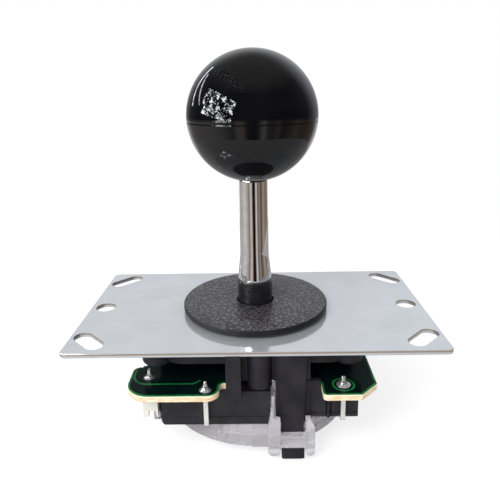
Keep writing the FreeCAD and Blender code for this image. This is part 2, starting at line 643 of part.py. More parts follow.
def circuit_board():
    """Square board with a notch on each side, three chamfered corners and the header's round tab."""
    half = BOARD_WIDTH / 2
    board = box(-half, half, -half, half, BOARD_UNDERSIDE, BOARD_TOP_HEIGHT)
    others = upright_edges(board, lambda middle: middle.x > 0 or middle.y > 0)
    board = board.makeChamfer(BOARD_CORNER_CHAMFER, others)
    low = BOARD_UNDERSIDE - 1
    high = BOARD_TOP_HEIGHT + 1
    corner = box(-half - 1, -NOTCH_BACK - 2, -half - 1, TAB_BACK - 1, low, high)
    board = fuse([board.cut(corner), board_tab()])
    notch = board_notch()
    left_notch = turned(notch, -90).cut(box(LAND_LEFT, 0, -half, LAND_BACK, low, high))
    left_notch = left_notch.cut(box(-half - 10, 0, -half - 10, TAB_BACK, low, high))
    bore = cylinder(0, 0, BOARD_BORE_DIAMETER / 2, low, high)
    notches = [notch, turned(notch, 90), turned(notch, 180), left_notch]
    board = board.cut(fuse(notches + [bore]))
    lobes = []
    for quarter in range(4):
        corner = turned(Part.Vertex(NOTCH_LEFT, -half, 0), quarter * 90).Point
        lobes += upright_edges(board, lambda middle: math.hypot(middle.x - corner.x, middle.y - corner.y) < 0.02)
    board = board.makeFillet(LOBE_END_RADIUS, lobes)
    notch_ends = []
    for quarter in range(3):
        corner = turned(Part.Vertex(NOTCH_RIGHT, -half, 0), quarter * 90).Point
        notch_ends += upright_edges(board, lambda middle: math.hypot(middle.x - corner.x, middle.y - corner.y) < 0.02)
    board = board.makeFillet(NOTCH_END_RADIUS, notch_ends)
    return board.cut(Part.makeCompound(lead_holes()))


def switch_outline():
    """Plan of a switch, chamfered at its outer left corner."""
    return [
        (SWITCH_LEFT, -SWITCH_INNER), (SWITCH_LEFT, -SWITCH_OUTER + SWITCH_END_CHAMFER),
        (SWITCH_LEFT + SWITCH_END_CHAMFER * 0.6, -SWITCH_OUTER), (SWITCH_RIGHT, -SWITCH_OUTER),
        (SWITCH_RIGHT, -SWITCH_INNER),
    ]


def switch_holes():
    """The two moulding holes that run down through a switch."""
    y = -(SWITCH_INNER + 3.0)
    first = SWITCH_LEFT + 3.0
    radius = SWITCH_HOLE_DIAMETER / 2
    return [cylinder(x, y, radius, SWITCH_FOOT - 1, SWITCH_TOP + 1) for x in (first, first + SWITCH_HOLE_SPACING)]


def switch_case():
    """Upper shell of the front switch, with the guide pocket for its plunger and the grooves in its end."""
    case = prism(switch_outline(), SWITCH_SEAM, SWITCH_TOP)
    half_width = PLUNGER_WIDTH / 2 + RUNNING_FIT
    half_height = PLUNGER_HEIGHT / 2 + RUNNING_FIT
    depth = PLUNGER_SUNK + PLUNGER_TRAVEL + 0.3
    pocket = box(
        -half_width, half_width, -SWITCH_INNER - depth, -SWITCH_INNER + 1,
        PLUNGER_CENTRE_HEIGHT - half_height, PLUNGER_CENTRE_HEIGHT + half_height,
    )
    case = case.makeChamfer(SEAM_CHAMFER, edges_at_height(case, SWITCH_SEAM))
    case = case.cut(fuse(switch_holes() + [pocket, end_groove()]))
    rib_x = SWITCH_LEFT + END_GROOVE_DEPTH - 0.1
    return case.fuse(cylinder(rib_x, END_GROOVE_Y, 0.5, SWITCH_SEAM, SWITCH_TOP - 0.6)).removeSplitter()


def end_groove():
    """The upright groove in the left end of a switch, through both of its shells."""
    half = END_GROOVE_WIDTH / 2
    back = END_GROOVE_Y + half
    return box(SWITCH_LEFT - 1, SWITCH_LEFT + END_GROOVE_DEPTH, back - END_GROOVE_WIDTH, back, SWITCH_FOOT - 1, SWITCH_TOP + 1)


def switch_cover():
    """Lower shell of the front switch, cut away along its lower left end and its outer lower edge."""
    cover = prism(switch_outline(), SWITCH_FOOT, SWITCH_SEAM)
    cover = cover.makeChamfer(SEAM_CHAMFER, edges_at_height(cover, SWITCH_SEAM))
    reach = COVER_END_CHAMFER
    left = SWITCH_LEFT - 0.01
    foot = SWITCH_FOOT - 0.01
    front = -BOARD_WIDTH
    corners = [Vector(left, front, foot), Vector(left + reach, front, foot), Vector(left, front, foot + reach)]
    end_cut = Part.Face(Part.makePolygon(corners + [corners[0]])).extrude(Vector(0, BOARD_WIDTH, 0))
    edge = COVER_EDGE_CHAMFER
    outer = -SWITCH_OUTER - 0.01
    edge_cut = side_prism([(outer, foot), (outer + edge, foot), (outer, foot + edge)], left - 1, SWITCH_RIGHT + 1)
    cover = cover.cut(fuse(switch_holes() + [end_cut, edge_cut, end_groove()]))
    rivet = cylinder(SWITCH_LEFT + END_GROOVE_DEPTH - 0.2, END_GROOVE_Y, 0.65, SWITCH_FOOT + 0.5, SWITCH_SEAM)
    rivet = rivet.makeFillet(0.3, edges_at_height(rivet, SWITCH_FOOT + 0.5))
    return cover.fuse(rivet).removeSplitter()


def switch_plunger():
    """Small square-sided button that the actuator faces, rounded at its tip."""
    half_width = PLUNGER_WIDTH / 2
    half_height = PLUNGER_HEIGHT / 2
    tip = -(SWITCH_INNER - PLUNGER_REACH)
    low = PLUNGER_CENTRE_HEIGHT - half_height
    high = PLUNGER_CENTRE_HEIGHT + half_height
    plunger = box(-half_width, half_width, -SWITCH_INNER - PLUNGER_SUNK, tip, low, high)
    tip_edges = [edge for edge in plunger.Edges if edge.BoundBox.YMin > tip - 1e-4]
    return plunger.makeFillet(0.4, tip_edges)


def switch_terminals(common_reach, common_top=TERMINAL_TOP_HEIGHT):
    """The two tinned blades of the front switch: each leaves the case and turns up through the board."""
    half = TERMINAL_WIDTH / 2
    thick = TERMINAL_THICKNESS
    outer = -(SWITCH_OUTER + OPEN_TERMINAL_REACH)
    foot = SWITCH_FOOT + TERMINAL_FOOT_RISE
    open_blade = side_prism([
        (-SWITCH_OUTER, foot), (outer - thick, foot), (outer - thick, TERMINAL_TOP_HEIGHT), (outer, TERMINAL_TOP_HEIGHT),
        (outer, foot + thick), (-SWITCH_OUTER, foot + thick),
    ], OPEN_TERMINAL_X - half, OPEN_TERMINAL_X + half)
    inner_x = SWITCH_LEFT - common_reach
    outer_x = inner_x - thick
    low = COMMON_TERMINAL_Y - half
    high = COMMON_TERMINAL_Y + half
    common_blade = box(outer_x, inner_x, low, high, foot, common_top)
    if common_reach > 0:
        common_blade = common_blade.fuse(box(outer_x, SWITCH_LEFT, low, high, foot, foot + thick)).removeSplitter()
    return Part.makeCompound([open_blade, common_blade])


def terminals_of(quarter):
    """One switch's blades. The front one's common blade lies against its case, in a slot of the header, and ends
    under the board."""
    if quarter == 0:
        return switch_terminals(0, BOARD_UNDERSIDE)
    return turned(switch_terminals(COMMON_TERMINAL_REACH), quarter * 90)


def solder_joints():
    """A cone of solder round each lead on the board's top."""
    half = TERMINAL_THICKNESS / 2
    leads = [terminals_of(quarter) for quarter in range(4)] + [header_anchor()]
    open_cone = solder_cone(OPEN_TERMINAL_X, -(SWITCH_OUTER + OPEN_TERMINAL_REACH + half))
    common_cone = solder_cone(SWITCH_LEFT - COMMON_TERMINAL_REACH - half, COMMON_TERMINAL_Y)
    joints = four_ways(open_cone) + four_ways(common_cone)[1:] + [solder_cone(ANCHOR_X, ANCHOR_Y)]
    return Part.makeCompound([joint.cut(Part.makeCompound(leads)) for joint in joints])


def solder_cone(x, y):
    return Part.makeCone(SOLDER_RADIUS, 0.75, SOLDER_HEIGHT, Vector(x, y, BOARD_TOP_HEIGHT))


def header_anchor():
    """Blade that holds the header to the board, soldered on the board's top."""
    thick = TERMINAL_THICKNESS / 2
    wide = TERMINAL_WIDTH / 2
    foot = BOARD_UNDERSIDE - ANCHOR_DEPTH
    return box(ANCHOR_X - thick, ANCHOR_X + thick, ANCHOR_Y - wide, ANCHOR_Y + wide, foot, TERMINAL_TOP_HEIGHT)


def header_pin_places():
    middle = (HEADER_FRONT + HEADER_BACK) / 2
    first = middle - (HEADER_PIN_COUNT - 1) / 2 * HEADER_PIN_PITCH
    return [first + number * HEADER_PIN_PITCH for number in range(HEADER_PIN_COUNT)]


def connector_header():
    """White moulded shroud under the board, open below, with a slot in its left wall beside each pin."""
    foot = BOARD_UNDERSIDE - HEADER_HEIGHT
    shroud = box(HEADER_LEFT, HEADER_RIGHT, HEADER_FRONT, HEADER_BACK, foot, BOARD_UNDERSIDE)
    left_in = HEADER_LEFT + HEADER_WALL
    front_in = HEADER_FRONT + HEADER_WALL
    cuts = [box(left_in, HEADER_RIGHT - HEADER_WALL, front_in, HEADER_BACK - HEADER_WALL, foot - 1, BOARD_UNDERSIDE - HEADER_BASE)]
    window_top = foot + HEADER_WALL_WINDOW_HEIGHT
    for y in header_pin_places():
        cuts.append(box(HEADER_LEFT - 1, left_in + 0.1, y - 0.6, y + 0.6, foot - 1, window_top))
    right_in = HEADER_RIGHT - HEADER_WALL / 2
    notch_in = HEADER_LEFT + HEADER_NOTCH_WIDTH
    cuts.append(box(notch_in + 0.4, right_in, HEADER_FRONT - 1, front_in + 0.1, foot - 1, foot + HEADER_WINDOW_HEIGHT))
    cuts.append(box(
        HEADER_LEFT - 1, notch_in, HEADER_FRONT - 1, HEADER_FRONT + HEADER_WALL / 2, foot + HEADER_NOTCH_FOOT,
        foot + HEADER_NOTCH_TOP,
    ))
    slot_half = TERMINAL_WIDTH / 2 + MOULDING_GAP
    slot_left = SWITCH_LEFT - TERMINAL_THICKNESS - MOULDING_GAP
    slot_low = COMMON_TERMINAL_Y - slot_half
    slot_high = COMMON_TERMINAL_Y + slot_half
    cuts.append(box(slot_left, HEADER_RIGHT + 1, slot_low, slot_high, foot - 1, BOARD_UNDERSIDE + 1))
    return shroud.cut(fuse(cuts)).cut(Part.makeCompound(connector_pins().Solids))


def connector_pins():
    """The header's five pins, which end on the board's underside, and its anchor blade."""
    half = HEADER_PIN_WIDTH / 2
    foot = BOARD_UNDERSIDE - HEADER_HEIGHT + 1.2
    pins = [box(HEADER_PIN_X - half, HEADER_PIN_X + half, y - half, y + half, foot, BOARD_UNDERSIDE) for y in header_pin_places()]
    return Part.makeCompound(pins + [header_anchor()])


def spring_seat():
    """Flanged ring under the housing floor that the spring's top end bears on."""
    top = SEAT_FLOOR_HEIGHT - SLIDING_GAP
    under = top - SEAT_RING_THICKNESS
    foot = under - SEAT_SPIGOT_LENGTH
    bore = SEAT_RING_BORE / 2
    flange = SEAT_RING_DIAMETER / 2
    spigot = SEAT_SPIGOT_DIAMETER / 2
    return revolve([(bore, top), (flange, top), (flange, under), (spigot, under), (spigot, foot), (bore, foot)])


def spring_ends():
    """Heights of the wire's centre at the spring's top and bottom ends."""
    seat_under = SEAT_FLOOR_HEIGHT - SLIDING_GAP - SEAT_RING_THICKNESS
    half = SPRING_WIRE / 2 + SLIDING_GAP
    return seat_under - half, ACTUATOR_TOP_HEIGHT + half


def centering_spring():
    """Open coil spring between the seat and the actuator."""
    high, low = spring_ends()
    pitch = (high - low) / SPRING_TURNS
    helix = Part.makeHelix(pitch, high - low, SPRING_MEAN_DIAMETER / 2)
    start = Vector(SPRING_MEAN_DIAMETER / 2, 0, 0)
    ring = Part.Wire(Part.makeCircle(SPRING_WIRE / 2, start, Vector(0, 1, 0)))
    coil = Part.Wire(helix.Edges).makePipeShell([ring], True, True)
    coil.translate(Vector(0, 0, low))
    return coil


def actuator():
    """Round moulding on the shaft's lower end, with a spigot in the spring and a hub on the retaining ring."""
    bore = SHAFT_JOURNAL_DIAMETER / 2 + RUNNING_FIT
    rim = ACTUATOR_DIAMETER / 2
    hub = ACTUATOR_HUB_DIAMETER / 2
    spigot = SEAT_SPIGOT_DIAMETER / 2
    spigot_top = ACTUATOR_TOP_HEIGHT + ACTUATOR_SPIGOT_LENGTH
    body = revolve([
        (bore, spigot_top), (spigot - 0.4, spigot_top), (spigot, spigot_top - 0.4), (spigot, ACTUATOR_TOP_HEIGHT),
        (rim, ACTUATOR_TOP_HEIGHT), (rim, ACTUATOR_FOOT_HEIGHT), (hub, ACTUATOR_FOOT_HEIGHT),
        (hub, ACTUATOR_HUB_HEIGHT), (bore, ACTUATOR_HUB_HEIGHT),
    ])
    rim_edges = [edge for edge in edges_at_height(body, ACTUATOR_FOOT_HEIGHT) if edge.BoundBox.XMax > rim - 0.01]
    return body.makeFillet(ACTUATOR_FILLET, rim_edges)


def e_ring():
    """Open retaining ring in the shaft's groove, with three inner pads."""
    foot = E_RING_TOP - E_RING_THICKNESS
    groove = E_RING_GROOVE_DIAMETER / 2
    journal = SHAFT_JOURNAL_DIAMETER / 2
    ring = cylinder(0, 0, E_RING_DIAMETER / 2, foot, E_RING_TOP).cut(cylinder(0, 0, groove, foot - 1, E_RING_TOP + 1))
    mouth = box(-groove * 0.9, groove * 0.9, -E_RING_DIAMETER, 0, foot - 1, E_RING_TOP + 1)
    relief = cylinder(0, 0, journal + 0.5, foot - 1, E_RING_TOP + 1)
    pads = [turned(box(-0.9, 0.9, 0, E_RING_DIAMETER, foot - 1, E_RING_TOP + 1), angle) for angle in (0, 100, -100)]
    return ring.cut(mouth).cut(relief.cut(fuse(pads)))


def gate_lug():
    """One clip loop, at the front: two cheeks, the cross bar that the hook holds, the pad and the thin fin."""
    root = -(LEG_FRONT - LEG_THICKNESS - 1.2)
    left_inner = LEG_LEFT - LUG_SIDE_GAP
    right_inner = LEG_RIGHT + LUG_SIDE_GAP
    shoulder = LUG_TOP_HEIGHT - LUG_SHOULDER
    spur_right = LUG_SPUR_LEFT + LUG_SPUR_WIDTH
    spur_top = LUG_TOP_HEIGHT + LUG_SPUR_HEIGHT
    left_cheek = [
        (LUG_LEFT, LUG_TIP_HEIGHT), (left_inner, LUG_TIP_HEIGHT), (left_inner, LUG_TOP_HEIGHT - 0.4),
        (spur_right, LUG_TOP_HEIGHT), (spur_right, spur_top), (LUG_SPUR_LEFT, spur_top), (LUG_SPUR_LEFT, spur_top - 1),
        (LUG_LEFT, shoulder),
    ]
    right_cheek = [
        (right_inner, LUG_TIP_HEIGHT), (LUG_RIGHT, LUG_TIP_HEIGHT), (LUG_RIGHT, shoulder),
        (LUG_RIGHT - LUG_SHOULDER_WIDTH, LUG_TOP_HEIGHT), (right_inner, LUG_TOP_HEIGHT),
    ]
    pieces = []
    for outline, x0, x1 in ((left_cheek, LUG_LEFT, left_inner), (right_cheek, right_inner, LUG_RIGHT)):
        cheek = front_prism(outline, -LUG_FRONT, LUG_THICKNESS - LUG_FRONT)
        tips = [
            edge for edge in cheek.Edges
            if edge.BoundBox.ZMax < LUG_TIP_HEIGHT + 1e-4 and edge.BoundBox.YLength > 1
        ]
        pieces.append(cheek.makeFillet(LUG_EDGE_RADIUS, tips))
        pieces.append(box(x0, x1, LUG_THICKNESS - LUG_FRONT - 0.5, root, GATE_FOOT_HEIGHT, GATE_TOP))
    bar_back = -(LEG_FRONT + MOULDING_GAP)
    groove = -(BAR_FRONT - BAR_GROOVE_DEPTH)
    low_edge = BAR_FOOT_HEIGHT + BAR_FOOT_EDGE
    high_edge = BAR_TOP_HEIGHT - BAR_TOP_EDGE
    pieces.append(side_prism([
        (bar_back, BAR_FOOT_HEIGHT), (-BAR_FRONT, BAR_FOOT_HEIGHT), (-BAR_FRONT, low_edge), (groove, low_edge + 0.2),
        (groove, high_edge - 0.2), (-BAR_FRONT, high_edge), (-BAR_FRONT, BAR_TOP_HEIGHT), (bar_back, BAR_TOP_HEIGHT),
    ], left_inner - 0.5, right_inner + 0.5))
    fin_front = -(LEG_FRONT - 0.5)
    fin_left = SWITCH_RIGHT + MOULDING_GAP
    fin_right = fin_left + FIN_WIDTH
    pieces.append(box(fin_left, fin_right, fin_front, fin_front + FIN_DEPTH, GATE_TOP - 1, FIN_TOP_HEIGHT))
    pieces.append(box(PAD_LEFT, LUG_LEFT + 0.5, -GATE_RADIUS - 0.3, root, GATE_FOOT_HEIGHT, GATE_TOP - 0.6))
    return pieces


def restrictor_gate():
    """Round tray that closes the underside, with the opening that limits the lever and four clip loops."""
    tray = revolve([
        (0, GATE_FOOT_HEIGHT), (GATE_RADIUS, GATE_FOOT_HEIGHT), (GATE_RADIUS, GATE_STEP_HEIGHT),
        (GATE_UPPER_RADIUS, GATE_STEP_HEIGHT), (GATE_UPPER_RADIUS, GATE_TOP), (0, GATE_TOP),
    ])
    throat = GATE_OPENING_RADIUS + GATE_THROAT_WALL
    hollow = revolve([
        (throat, GATE_FLOOR_TOP), (GATE_UPPER_RADIUS - GATE_WALL, GATE_FLOOR_TOP),
        (GATE_UPPER_RADIUS - GATE_WALL, GATE_TOP + 1), (throat, GATE_TOP + 1),
    ])
    half = GATE_RIB_THICKNESS / 2
    ribs = [
        turned(box(-half, half, -GATE_RADIUS, 0, GATE_FLOOR_TOP - 1, GATE_TOP + 2), 22.5 + number * 45)
        for number in range(8)
    ]
    leg_window = box(
        LEG_LEFT - LUG_SIDE_GAP, LEG_RIGHT + LUG_SIDE_GAP, -LUG_FRONT - 1, -(LEG_FRONT - LEG_THICKNESS - MOULDING_GAP),
        LUG_TIP_HEIGHT - 1, GATE_TOP + 1,
    )
    shade = box(
        LEG_LEFT - LUG_SIDE_GAP - 1, LEG_RIGHT + LUG_SIDE_GAP + 1, -(LEG_FRONT - LEG_THICKNESS - MOULDING_GAP),
        -(LEG_FRONT - LEG_THICKNESS - MOULDING_GAP - GATE_WALL), GATE_FOOT_HEIGHT, GATE_TOP,
    )
    tray = tray.cut(hollow.cut(fuse(ribs)))
    tray = fuse([tray] + four_ways(shade)).cut(fuse(four_ways(leg_window)))
    swing = revolve([
        (0, GATE_TOP + 1), (SWITCH_INNER - 1.4, GATE_TOP + 1), (SWITCH_INNER - 1.4, GATE_FLOOR_TOP),
        (GATE_OPENING_RADIUS, GATE_FLOOR_TOP - 0.4), (GATE_OPENING_RADIUS, GATE_FOOT_HEIGHT - 1), (0, GATE_FOOT_HEIGHT - 1),
    ])
    lug = fuse(gate_lug())
    return fuse([tray] + four_ways(lug)).cut(swing)


SIDES = ("front", "right", "back", "left")
NODES = {
    "mounting_plate": mounting_plate(),
    "plate_screws": plate_screws(),
    "dust_washer": dust_washer(),
    "ball_top": ball_top(),
    "ball_insert": ball_insert(),
    "lever_shaft": lever_shaft(),
    "pivot": pivot(),
    "housing": housing(),
    "circuit_board": circuit_board(),
    "solder_joints": solder_joints(),
    "connector_header": connector_header(),
    "connector_pins": connector_pins(),
    "spring_seat": spring_seat(),
    "centering_spring": centering_spring(),
    "actuator": actuator(),
    "e_ring": e_ring(),
    "restrictor_gate": restrictor_gate(),
}
for quarter, side in enumerate(SIDES):
    NODES[f"switch_case_{side}"] = turned(switch_case(), quarter * 90)
    NODES[f"switch_cover_{side}"] = turned(switch_cover(), quarter * 90)
    NODES[f"switch_plunger_{side}"] = turned(switch_plunger(), quarter * 90)
    NODES[f"switch_terminals_{side}"] = terminals_of(quarter)

os.makedirs("parts", exist_ok=True)
for name, shape in NODES.items():
    shape.exportStep(os.path.join("parts", name + ".step"))
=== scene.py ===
import math

import bpy
from mathutils import Matrix, Vector


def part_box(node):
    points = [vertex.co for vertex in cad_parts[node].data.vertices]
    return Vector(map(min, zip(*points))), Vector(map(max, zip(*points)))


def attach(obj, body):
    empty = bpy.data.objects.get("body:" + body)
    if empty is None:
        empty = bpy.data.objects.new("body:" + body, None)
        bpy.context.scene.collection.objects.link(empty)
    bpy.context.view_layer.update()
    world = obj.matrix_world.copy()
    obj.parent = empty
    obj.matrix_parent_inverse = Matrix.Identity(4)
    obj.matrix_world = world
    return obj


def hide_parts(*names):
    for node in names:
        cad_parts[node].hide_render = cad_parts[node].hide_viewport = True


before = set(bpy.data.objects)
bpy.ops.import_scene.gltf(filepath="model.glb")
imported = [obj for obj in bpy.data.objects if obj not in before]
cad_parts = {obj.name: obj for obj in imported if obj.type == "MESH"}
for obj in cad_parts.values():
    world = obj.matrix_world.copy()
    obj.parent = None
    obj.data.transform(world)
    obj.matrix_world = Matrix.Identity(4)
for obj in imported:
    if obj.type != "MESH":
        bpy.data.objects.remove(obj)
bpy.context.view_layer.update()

bpy.ops.object.select_all(action="DESELECT")
bpy.context.scene.view_settings.view_transform = "Standard"


# Mounting plate
# A flat steel plate, punched in one stroke and zinc plated. The plating is pale, a little blue and satin. The
# upper part of its punched rim carries a painted reflection in warm tan, and its face has a few small knocks.

MM = 0.001
ZINC_PALE = (0.67, 0.70, 0.73)
ZINC_DEEP = (0.60, 0.63, 0.66)
RIM_TAN_PAINTED_REFLECTION = (0.42, 0.33, 0.26)
REFLECTION_BAND_TOP = -0.16
REFLECTION_BAND_FOOT = -0.5
KNOCK_PLACES = ((-29, -7.5), (-20, -11.2), (39.5, -9.0), (24.5, -22.6), (-36, 3.5))
KNOCK_FLOOR_RADIUS = 0.1
KNOCK_RADIUS = 0.55


def start_material(name):
    """A new material: the material, its shader, and its object coordinates in millimetres."""
    material = bpy.data.materials.new(name)
    material.use_nodes = True
    nodes = material.node_tree.nodes
    place = nodes.new("ShaderNodeTexCoord")
    in_mm = nodes.new("ShaderNodeMapping")
    in_mm.inputs["Scale"].default_value = (1000, 1000, 1000)
    material.node_tree.links.new(place.outputs["Object"], in_mm.inputs["Vector"])
    return material, nodes["Principled BSDF"], in_mm.outputs["Vector"]


def wire(material, source, target):
    material.node_tree.links.new(source, target)


zinc, shader, place = start_material("bright zinc plating")


def build_mottle_group():
    """Soft clouds and fine grain, at sizes in millimetres."""
    group = bpy.data.node_groups.new("clouds and grain", "ShaderNodeTree")
    face = group.interface
    face.new_socket("Place", in_out="INPUT", socket_type="NodeSocketVector")
    face.new_socket("Cloud Size", in_out="INPUT", socket_type="NodeSocketFloat").default_value = 8
    face.new_socket("Grain Size", in_out="INPUT", socket_type="NodeSocketFloat").default_value = 0.3
    face.new_socket("Clouds", in_out="OUTPUT", socket_type="NodeSocketFloat")
    face.new_socket("Grain", in_out="OUTPUT", socket_type="NodeSocketFloat")
    start = group.nodes.new("NodeGroupInput")
    end = group.nodes.new("NodeGroupOutput")
    for size, result, detail in (("Cloud Size", "Clouds", 3), ("Grain Size", "Grain", 2)):
        per_mm = group.nodes.new("ShaderNodeMath")
        per_mm.operation = "DIVIDE"
        per_mm.inputs[0].default_value = 1
        group.links.new(start.outputs[size], per_mm.inputs[1])
        noise = group.nodes.new("ShaderNodeTexNoise")
        noise.inputs["Detail"].default_value = detail
        group.links.new(start.outputs["Place"], noise.inputs["Vector"])
        group.links.new(per_mm.outputs[0], noise.inputs["Scale"])
        group.links.new(noise.outputs["Fac"], end.inputs[result])
    return group


mottle = build_mottle_group()


def add_mottle(material, place, clouds_mm, grain_mm):
    """The group's two values, clouds and grain, for sizes in millimetres."""
    node = material.node_tree.nodes.new("ShaderNodeGroup")
    node.node_tree = mottle
    node.inputs["Cloud Size"].default_value = clouds_mm
    node.inputs["Grain Size"].default_value = grain_mm
    wire(material, place, node.inputs["Place"])
    return node.outputs["Clouds"], node.outputs["Grain"]


clouds, grain = add_mottle(zinc, place, clouds_mm=11, grain_mm=0.5)


def add_streaks(material, place, per_mm):
    """Noise that is drawn out along each axis on which it changes less per millimetre."""
    stretch = material.node_tree.nodes.new("ShaderNodeMapping")
    stretch.inputs["Scale"].default_value = per_mm
    wire(material, place, stretch.inputs["Vector"])
    noise = material.node_tree.nodes.new("ShaderNodeTexNoise")
    noise.inputs["Scale"].default_value = 1
    wire(material, stretch.outputs["Vector"], noise.inputs["Vector"])
    return noise.outputs["Fac"]


rolling_lines = add_streaks(zinc, place, (0.09, 2.4, 1.5))


def combine(material, operation, first, second):
    """One sum on two values, each a number or wired."""
    node = material.node_tree.nodes.new("ShaderNodeMath")
    node.operation = operation
    for socket, value in ((node.inputs[0], first), (node.inputs[1], second)):
        if isinstance(value, (int, float)):
            socket.default_value = value
        else:
            wire(material, value, socket)
    return node.outputs[0]


def add_share(material, value, other, share):
    """A value plus a share of another."""
    return combine(material, "ADD", value, combine(material, "MULTIPLY", other, share))


def spread(material, value, low, high, start=0.35, end=0.65):
    """Stretches the part of a value from start to end over the range low to high."""
    node = material.node_tree.nodes.new("ShaderNodeMapRange")
    for name, number in (("From Min", start), ("From Max", end), ("To Min", low), ("To Max", high)):
        node.inputs[name].default_value = number
    wire(material, value, node.inputs["Value"])
    return node.outputs["Result"]


def between(material, mask, colour_a, colour_b):
    """Mixes two colours, plain or wired, by a mask."""
    node = material.node_tree.nodes.new("ShaderNodeMix")
    node.data_type = "RGBA"
    for socket, colour in ((node.inputs[6], colour_a), (node.inputs[7], colour_b)):
        if isinstance(colour, tuple):
            socket.default_value = (*colour, 1)
        else:
            wire(material, colour, socket)
    wire(material, mask, node.inputs[0])
    return node.outputs[2]


tone = add_share(zinc, combine(zinc, "MULTIPLY", clouds, 0.7), rolling_lines, 0.3)
face = between(zinc, spread(zinc, tone, 0, 1), ZINC_DEEP, ZINC_PALE)


def height_of(material, place):
    node = material.node_tree.nodes.new("ShaderNodeSeparateXYZ")
    wire(material, place, node.inputs[0])
    return node.outputs[2]


# Painted reflection: a warm tan band on the upper part of the rim, below the top face.
above_band_foot = spread(zinc, height_of(zinc, place), 0, 1, REFLECTION_BAND_FOOT - 0.12, REFLECTION_BAND_FOOT)
under_face = spread(zinc, height_of(zinc, place), 1, 0, REFLECTION_BAND_TOP, REFLECTION_BAND_TOP + 0.06)
painted_reflection_band = combine(zinc, "MULTIPLY", above_band_foot, under_face)
wire(zinc, between(zinc, painted_reflection_band, face, RIM_TAN_PAINTED_REFLECTION), shader.inputs["Base Color"])
shader.inputs["Metallic"].default_value = 0.55
wire(zinc, spread(zinc, grain, 0.09, 0.13), shader.inputs["Roughness"])
knocks = 0
for x, y in KNOCK_PLACES:
    spot = zinc.node_tree.nodes.new("ShaderNodeVectorMath")
    spot.operation = "DISTANCE"
    spot.inputs[1].default_value = (x, y, 0)
    wire(zinc, place, spot.inputs[0])
    dip = spread(zinc, spot.outputs["Value"], 1, 0, KNOCK_FLOOR_RADIUS, KNOCK_RADIUS)
    knocks = combine(zinc, "ADD", knocks, dip)


def add_relief(material, shader, height, depth_mm, strength=1.0, edge_mm=0.0):
    """Bump of the given depth, over edges that look rounded by edge_mm."""
    node = material.node_tree.nodes.new("ShaderNodeBump")
    node.inputs["Strength"].default_value = strength
    node.inputs["Distance"].default_value = depth_mm * MM
    wire(material, height, node.inputs["Height"])
    if edge_mm:
        rounding = material.node_tree.nodes.new("ShaderNodeBevel")
        rounding.samples = 6
        rounding.inputs["Radius"].default_value = edge_mm * MM
        wire(material, rounding.outputs["Normal"], node.inputs["Normal"])
    wire(material, node.outputs["Normal"], shader.inputs["Normal"])


waves = combine(zinc, "MULTIPLY", clouds, 0.03)
add_relief(zinc, shader, combine(zinc, "SUBTRACT", waves, knocks), depth_mm=0.06, strength=0.6, edge_mm=0.12)


def dress(node, material):
    """Gives every slot of a CAD node the same material."""
    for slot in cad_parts[node].material_slots:
        slot.material = material


dress("mounting_plate", zinc)


# Plate screws
# Four slotted countersunk screws hold the housing to the plate, flush with its top under the dust washer.
# They are plain steel with a light oil film that lies in darker patches.


def start_mottled(name, clouds_mm, grain_mm, deep, pale, smooth, rough):
    """A material whose colour changes in clouds, and whose roughness changes with its grain."""
    material, shader, place = start_material(name)
    clouds, grain = add_mottle(material, place, clouds_mm, grain_mm)
    wire(material, between(material, spread(material, clouds, 0, 1), deep, pale), shader.inputs["Base Color"])
    wire(material, spread(material, grain, smooth, rough), shader.inputs["Roughness"])
    return material, shader, place, clouds, grain


def plain_finish(name, depth_mm, strength, edge_mm=0.0, metallic=0.0, **tones):
    """A mottled material whose grain is its relief too."""
    material, shader, _, _, grain = start_mottled(name, **tones)
    shader.inputs["Metallic"].default_value = metallic
    add_relief(material, shader, grain, depth_mm, strength, edge_mm)
    return material


screw_steel = plain_finish(
    "oiled screw steel", depth_mm=0.02, strength=0.5, edge_mm=0.08, metallic=1, clouds_mm=1.5, grain_mm=0.12,
    deep=(0.30, 0.29, 0.28), pale=(0.52, 0.52, 0.53), smooth=0.22, rough=0.4,
)
dress("plate_screws", screw_steel)


# Housing
# One glass-filled nylon moulding: flange, seat cup and four towers with hooked legs. It is charcoal black
# with a fine matte grain from the tool and faint flow clouds, and its edges are slightly rounded.

housing_black, shader, _, clouds, grain = start_mottled(
    "charcoal nylon", clouds_mm=5, grain_mm=0.24,
    deep=(0.010, 0.009, 0.013), pale=(0.021, 0.019, 0.025), smooth=0.40, rough=0.55,
)
shader.inputs["Specular IOR Level"].default_value = 0.35
tool_grain = add_share(housing_black, grain, clouds, 0.5)
add_relief(housing_black, shader, tool_grain, depth_mm=0.07, strength=0.9, edge_mm=0.18)
dress("housing", housing_black)


# Pivot, spring seat, spring, actuator and retaining ring
# The pivot is a polished black acetal moulding whose neck shows through the washer. Below the housing the
# spring bears on a grey seat and on the black actuator, and a blanked ring in the shaft's groove holds them.

pivot_black, shader, place, _, _ = start_mottled(
    "polished black acetal", clouds_mm=3, grain_mm=0.25,
    deep=(0.006, 0.006, 0.007), pale=(0.012, 0.012, 0.014), smooth=0.10, rough=0.16,
)
shader.inputs["Specular IOR Level"].default_value = 0.8
turning_lines = add_streaks(pivot_black, place, (0.05, 0.05, 6))
add_relief(pivot_black, shader, turning_lines, depth_mm=0.12)
dress("pivot", pivot_black)

seat_grey = plain_finish(
    "grey acetal", depth_mm=0.02, strength=0.4, edge_mm=0.1, clouds_mm=2, grain_mm=0.2,
    deep=(0.20, 0.20, 0.21), pale=(0.27, 0.27, 0.28), smooth=0.35, rough=0.5,
)
dress("spring_seat", seat_grey)

spring_steel = plain_finish(
    "drawn spring wire", depth_mm=0.01, strength=0.4, metallic=1, clouds_mm=1.2, grain_mm=0.1,
    deep=(0.38, 0.37, 0.36), pale=(0.56, 0.55, 0.53), smooth=0.2, rough=0.36,
)
dress("centering_spring", spring_steel)

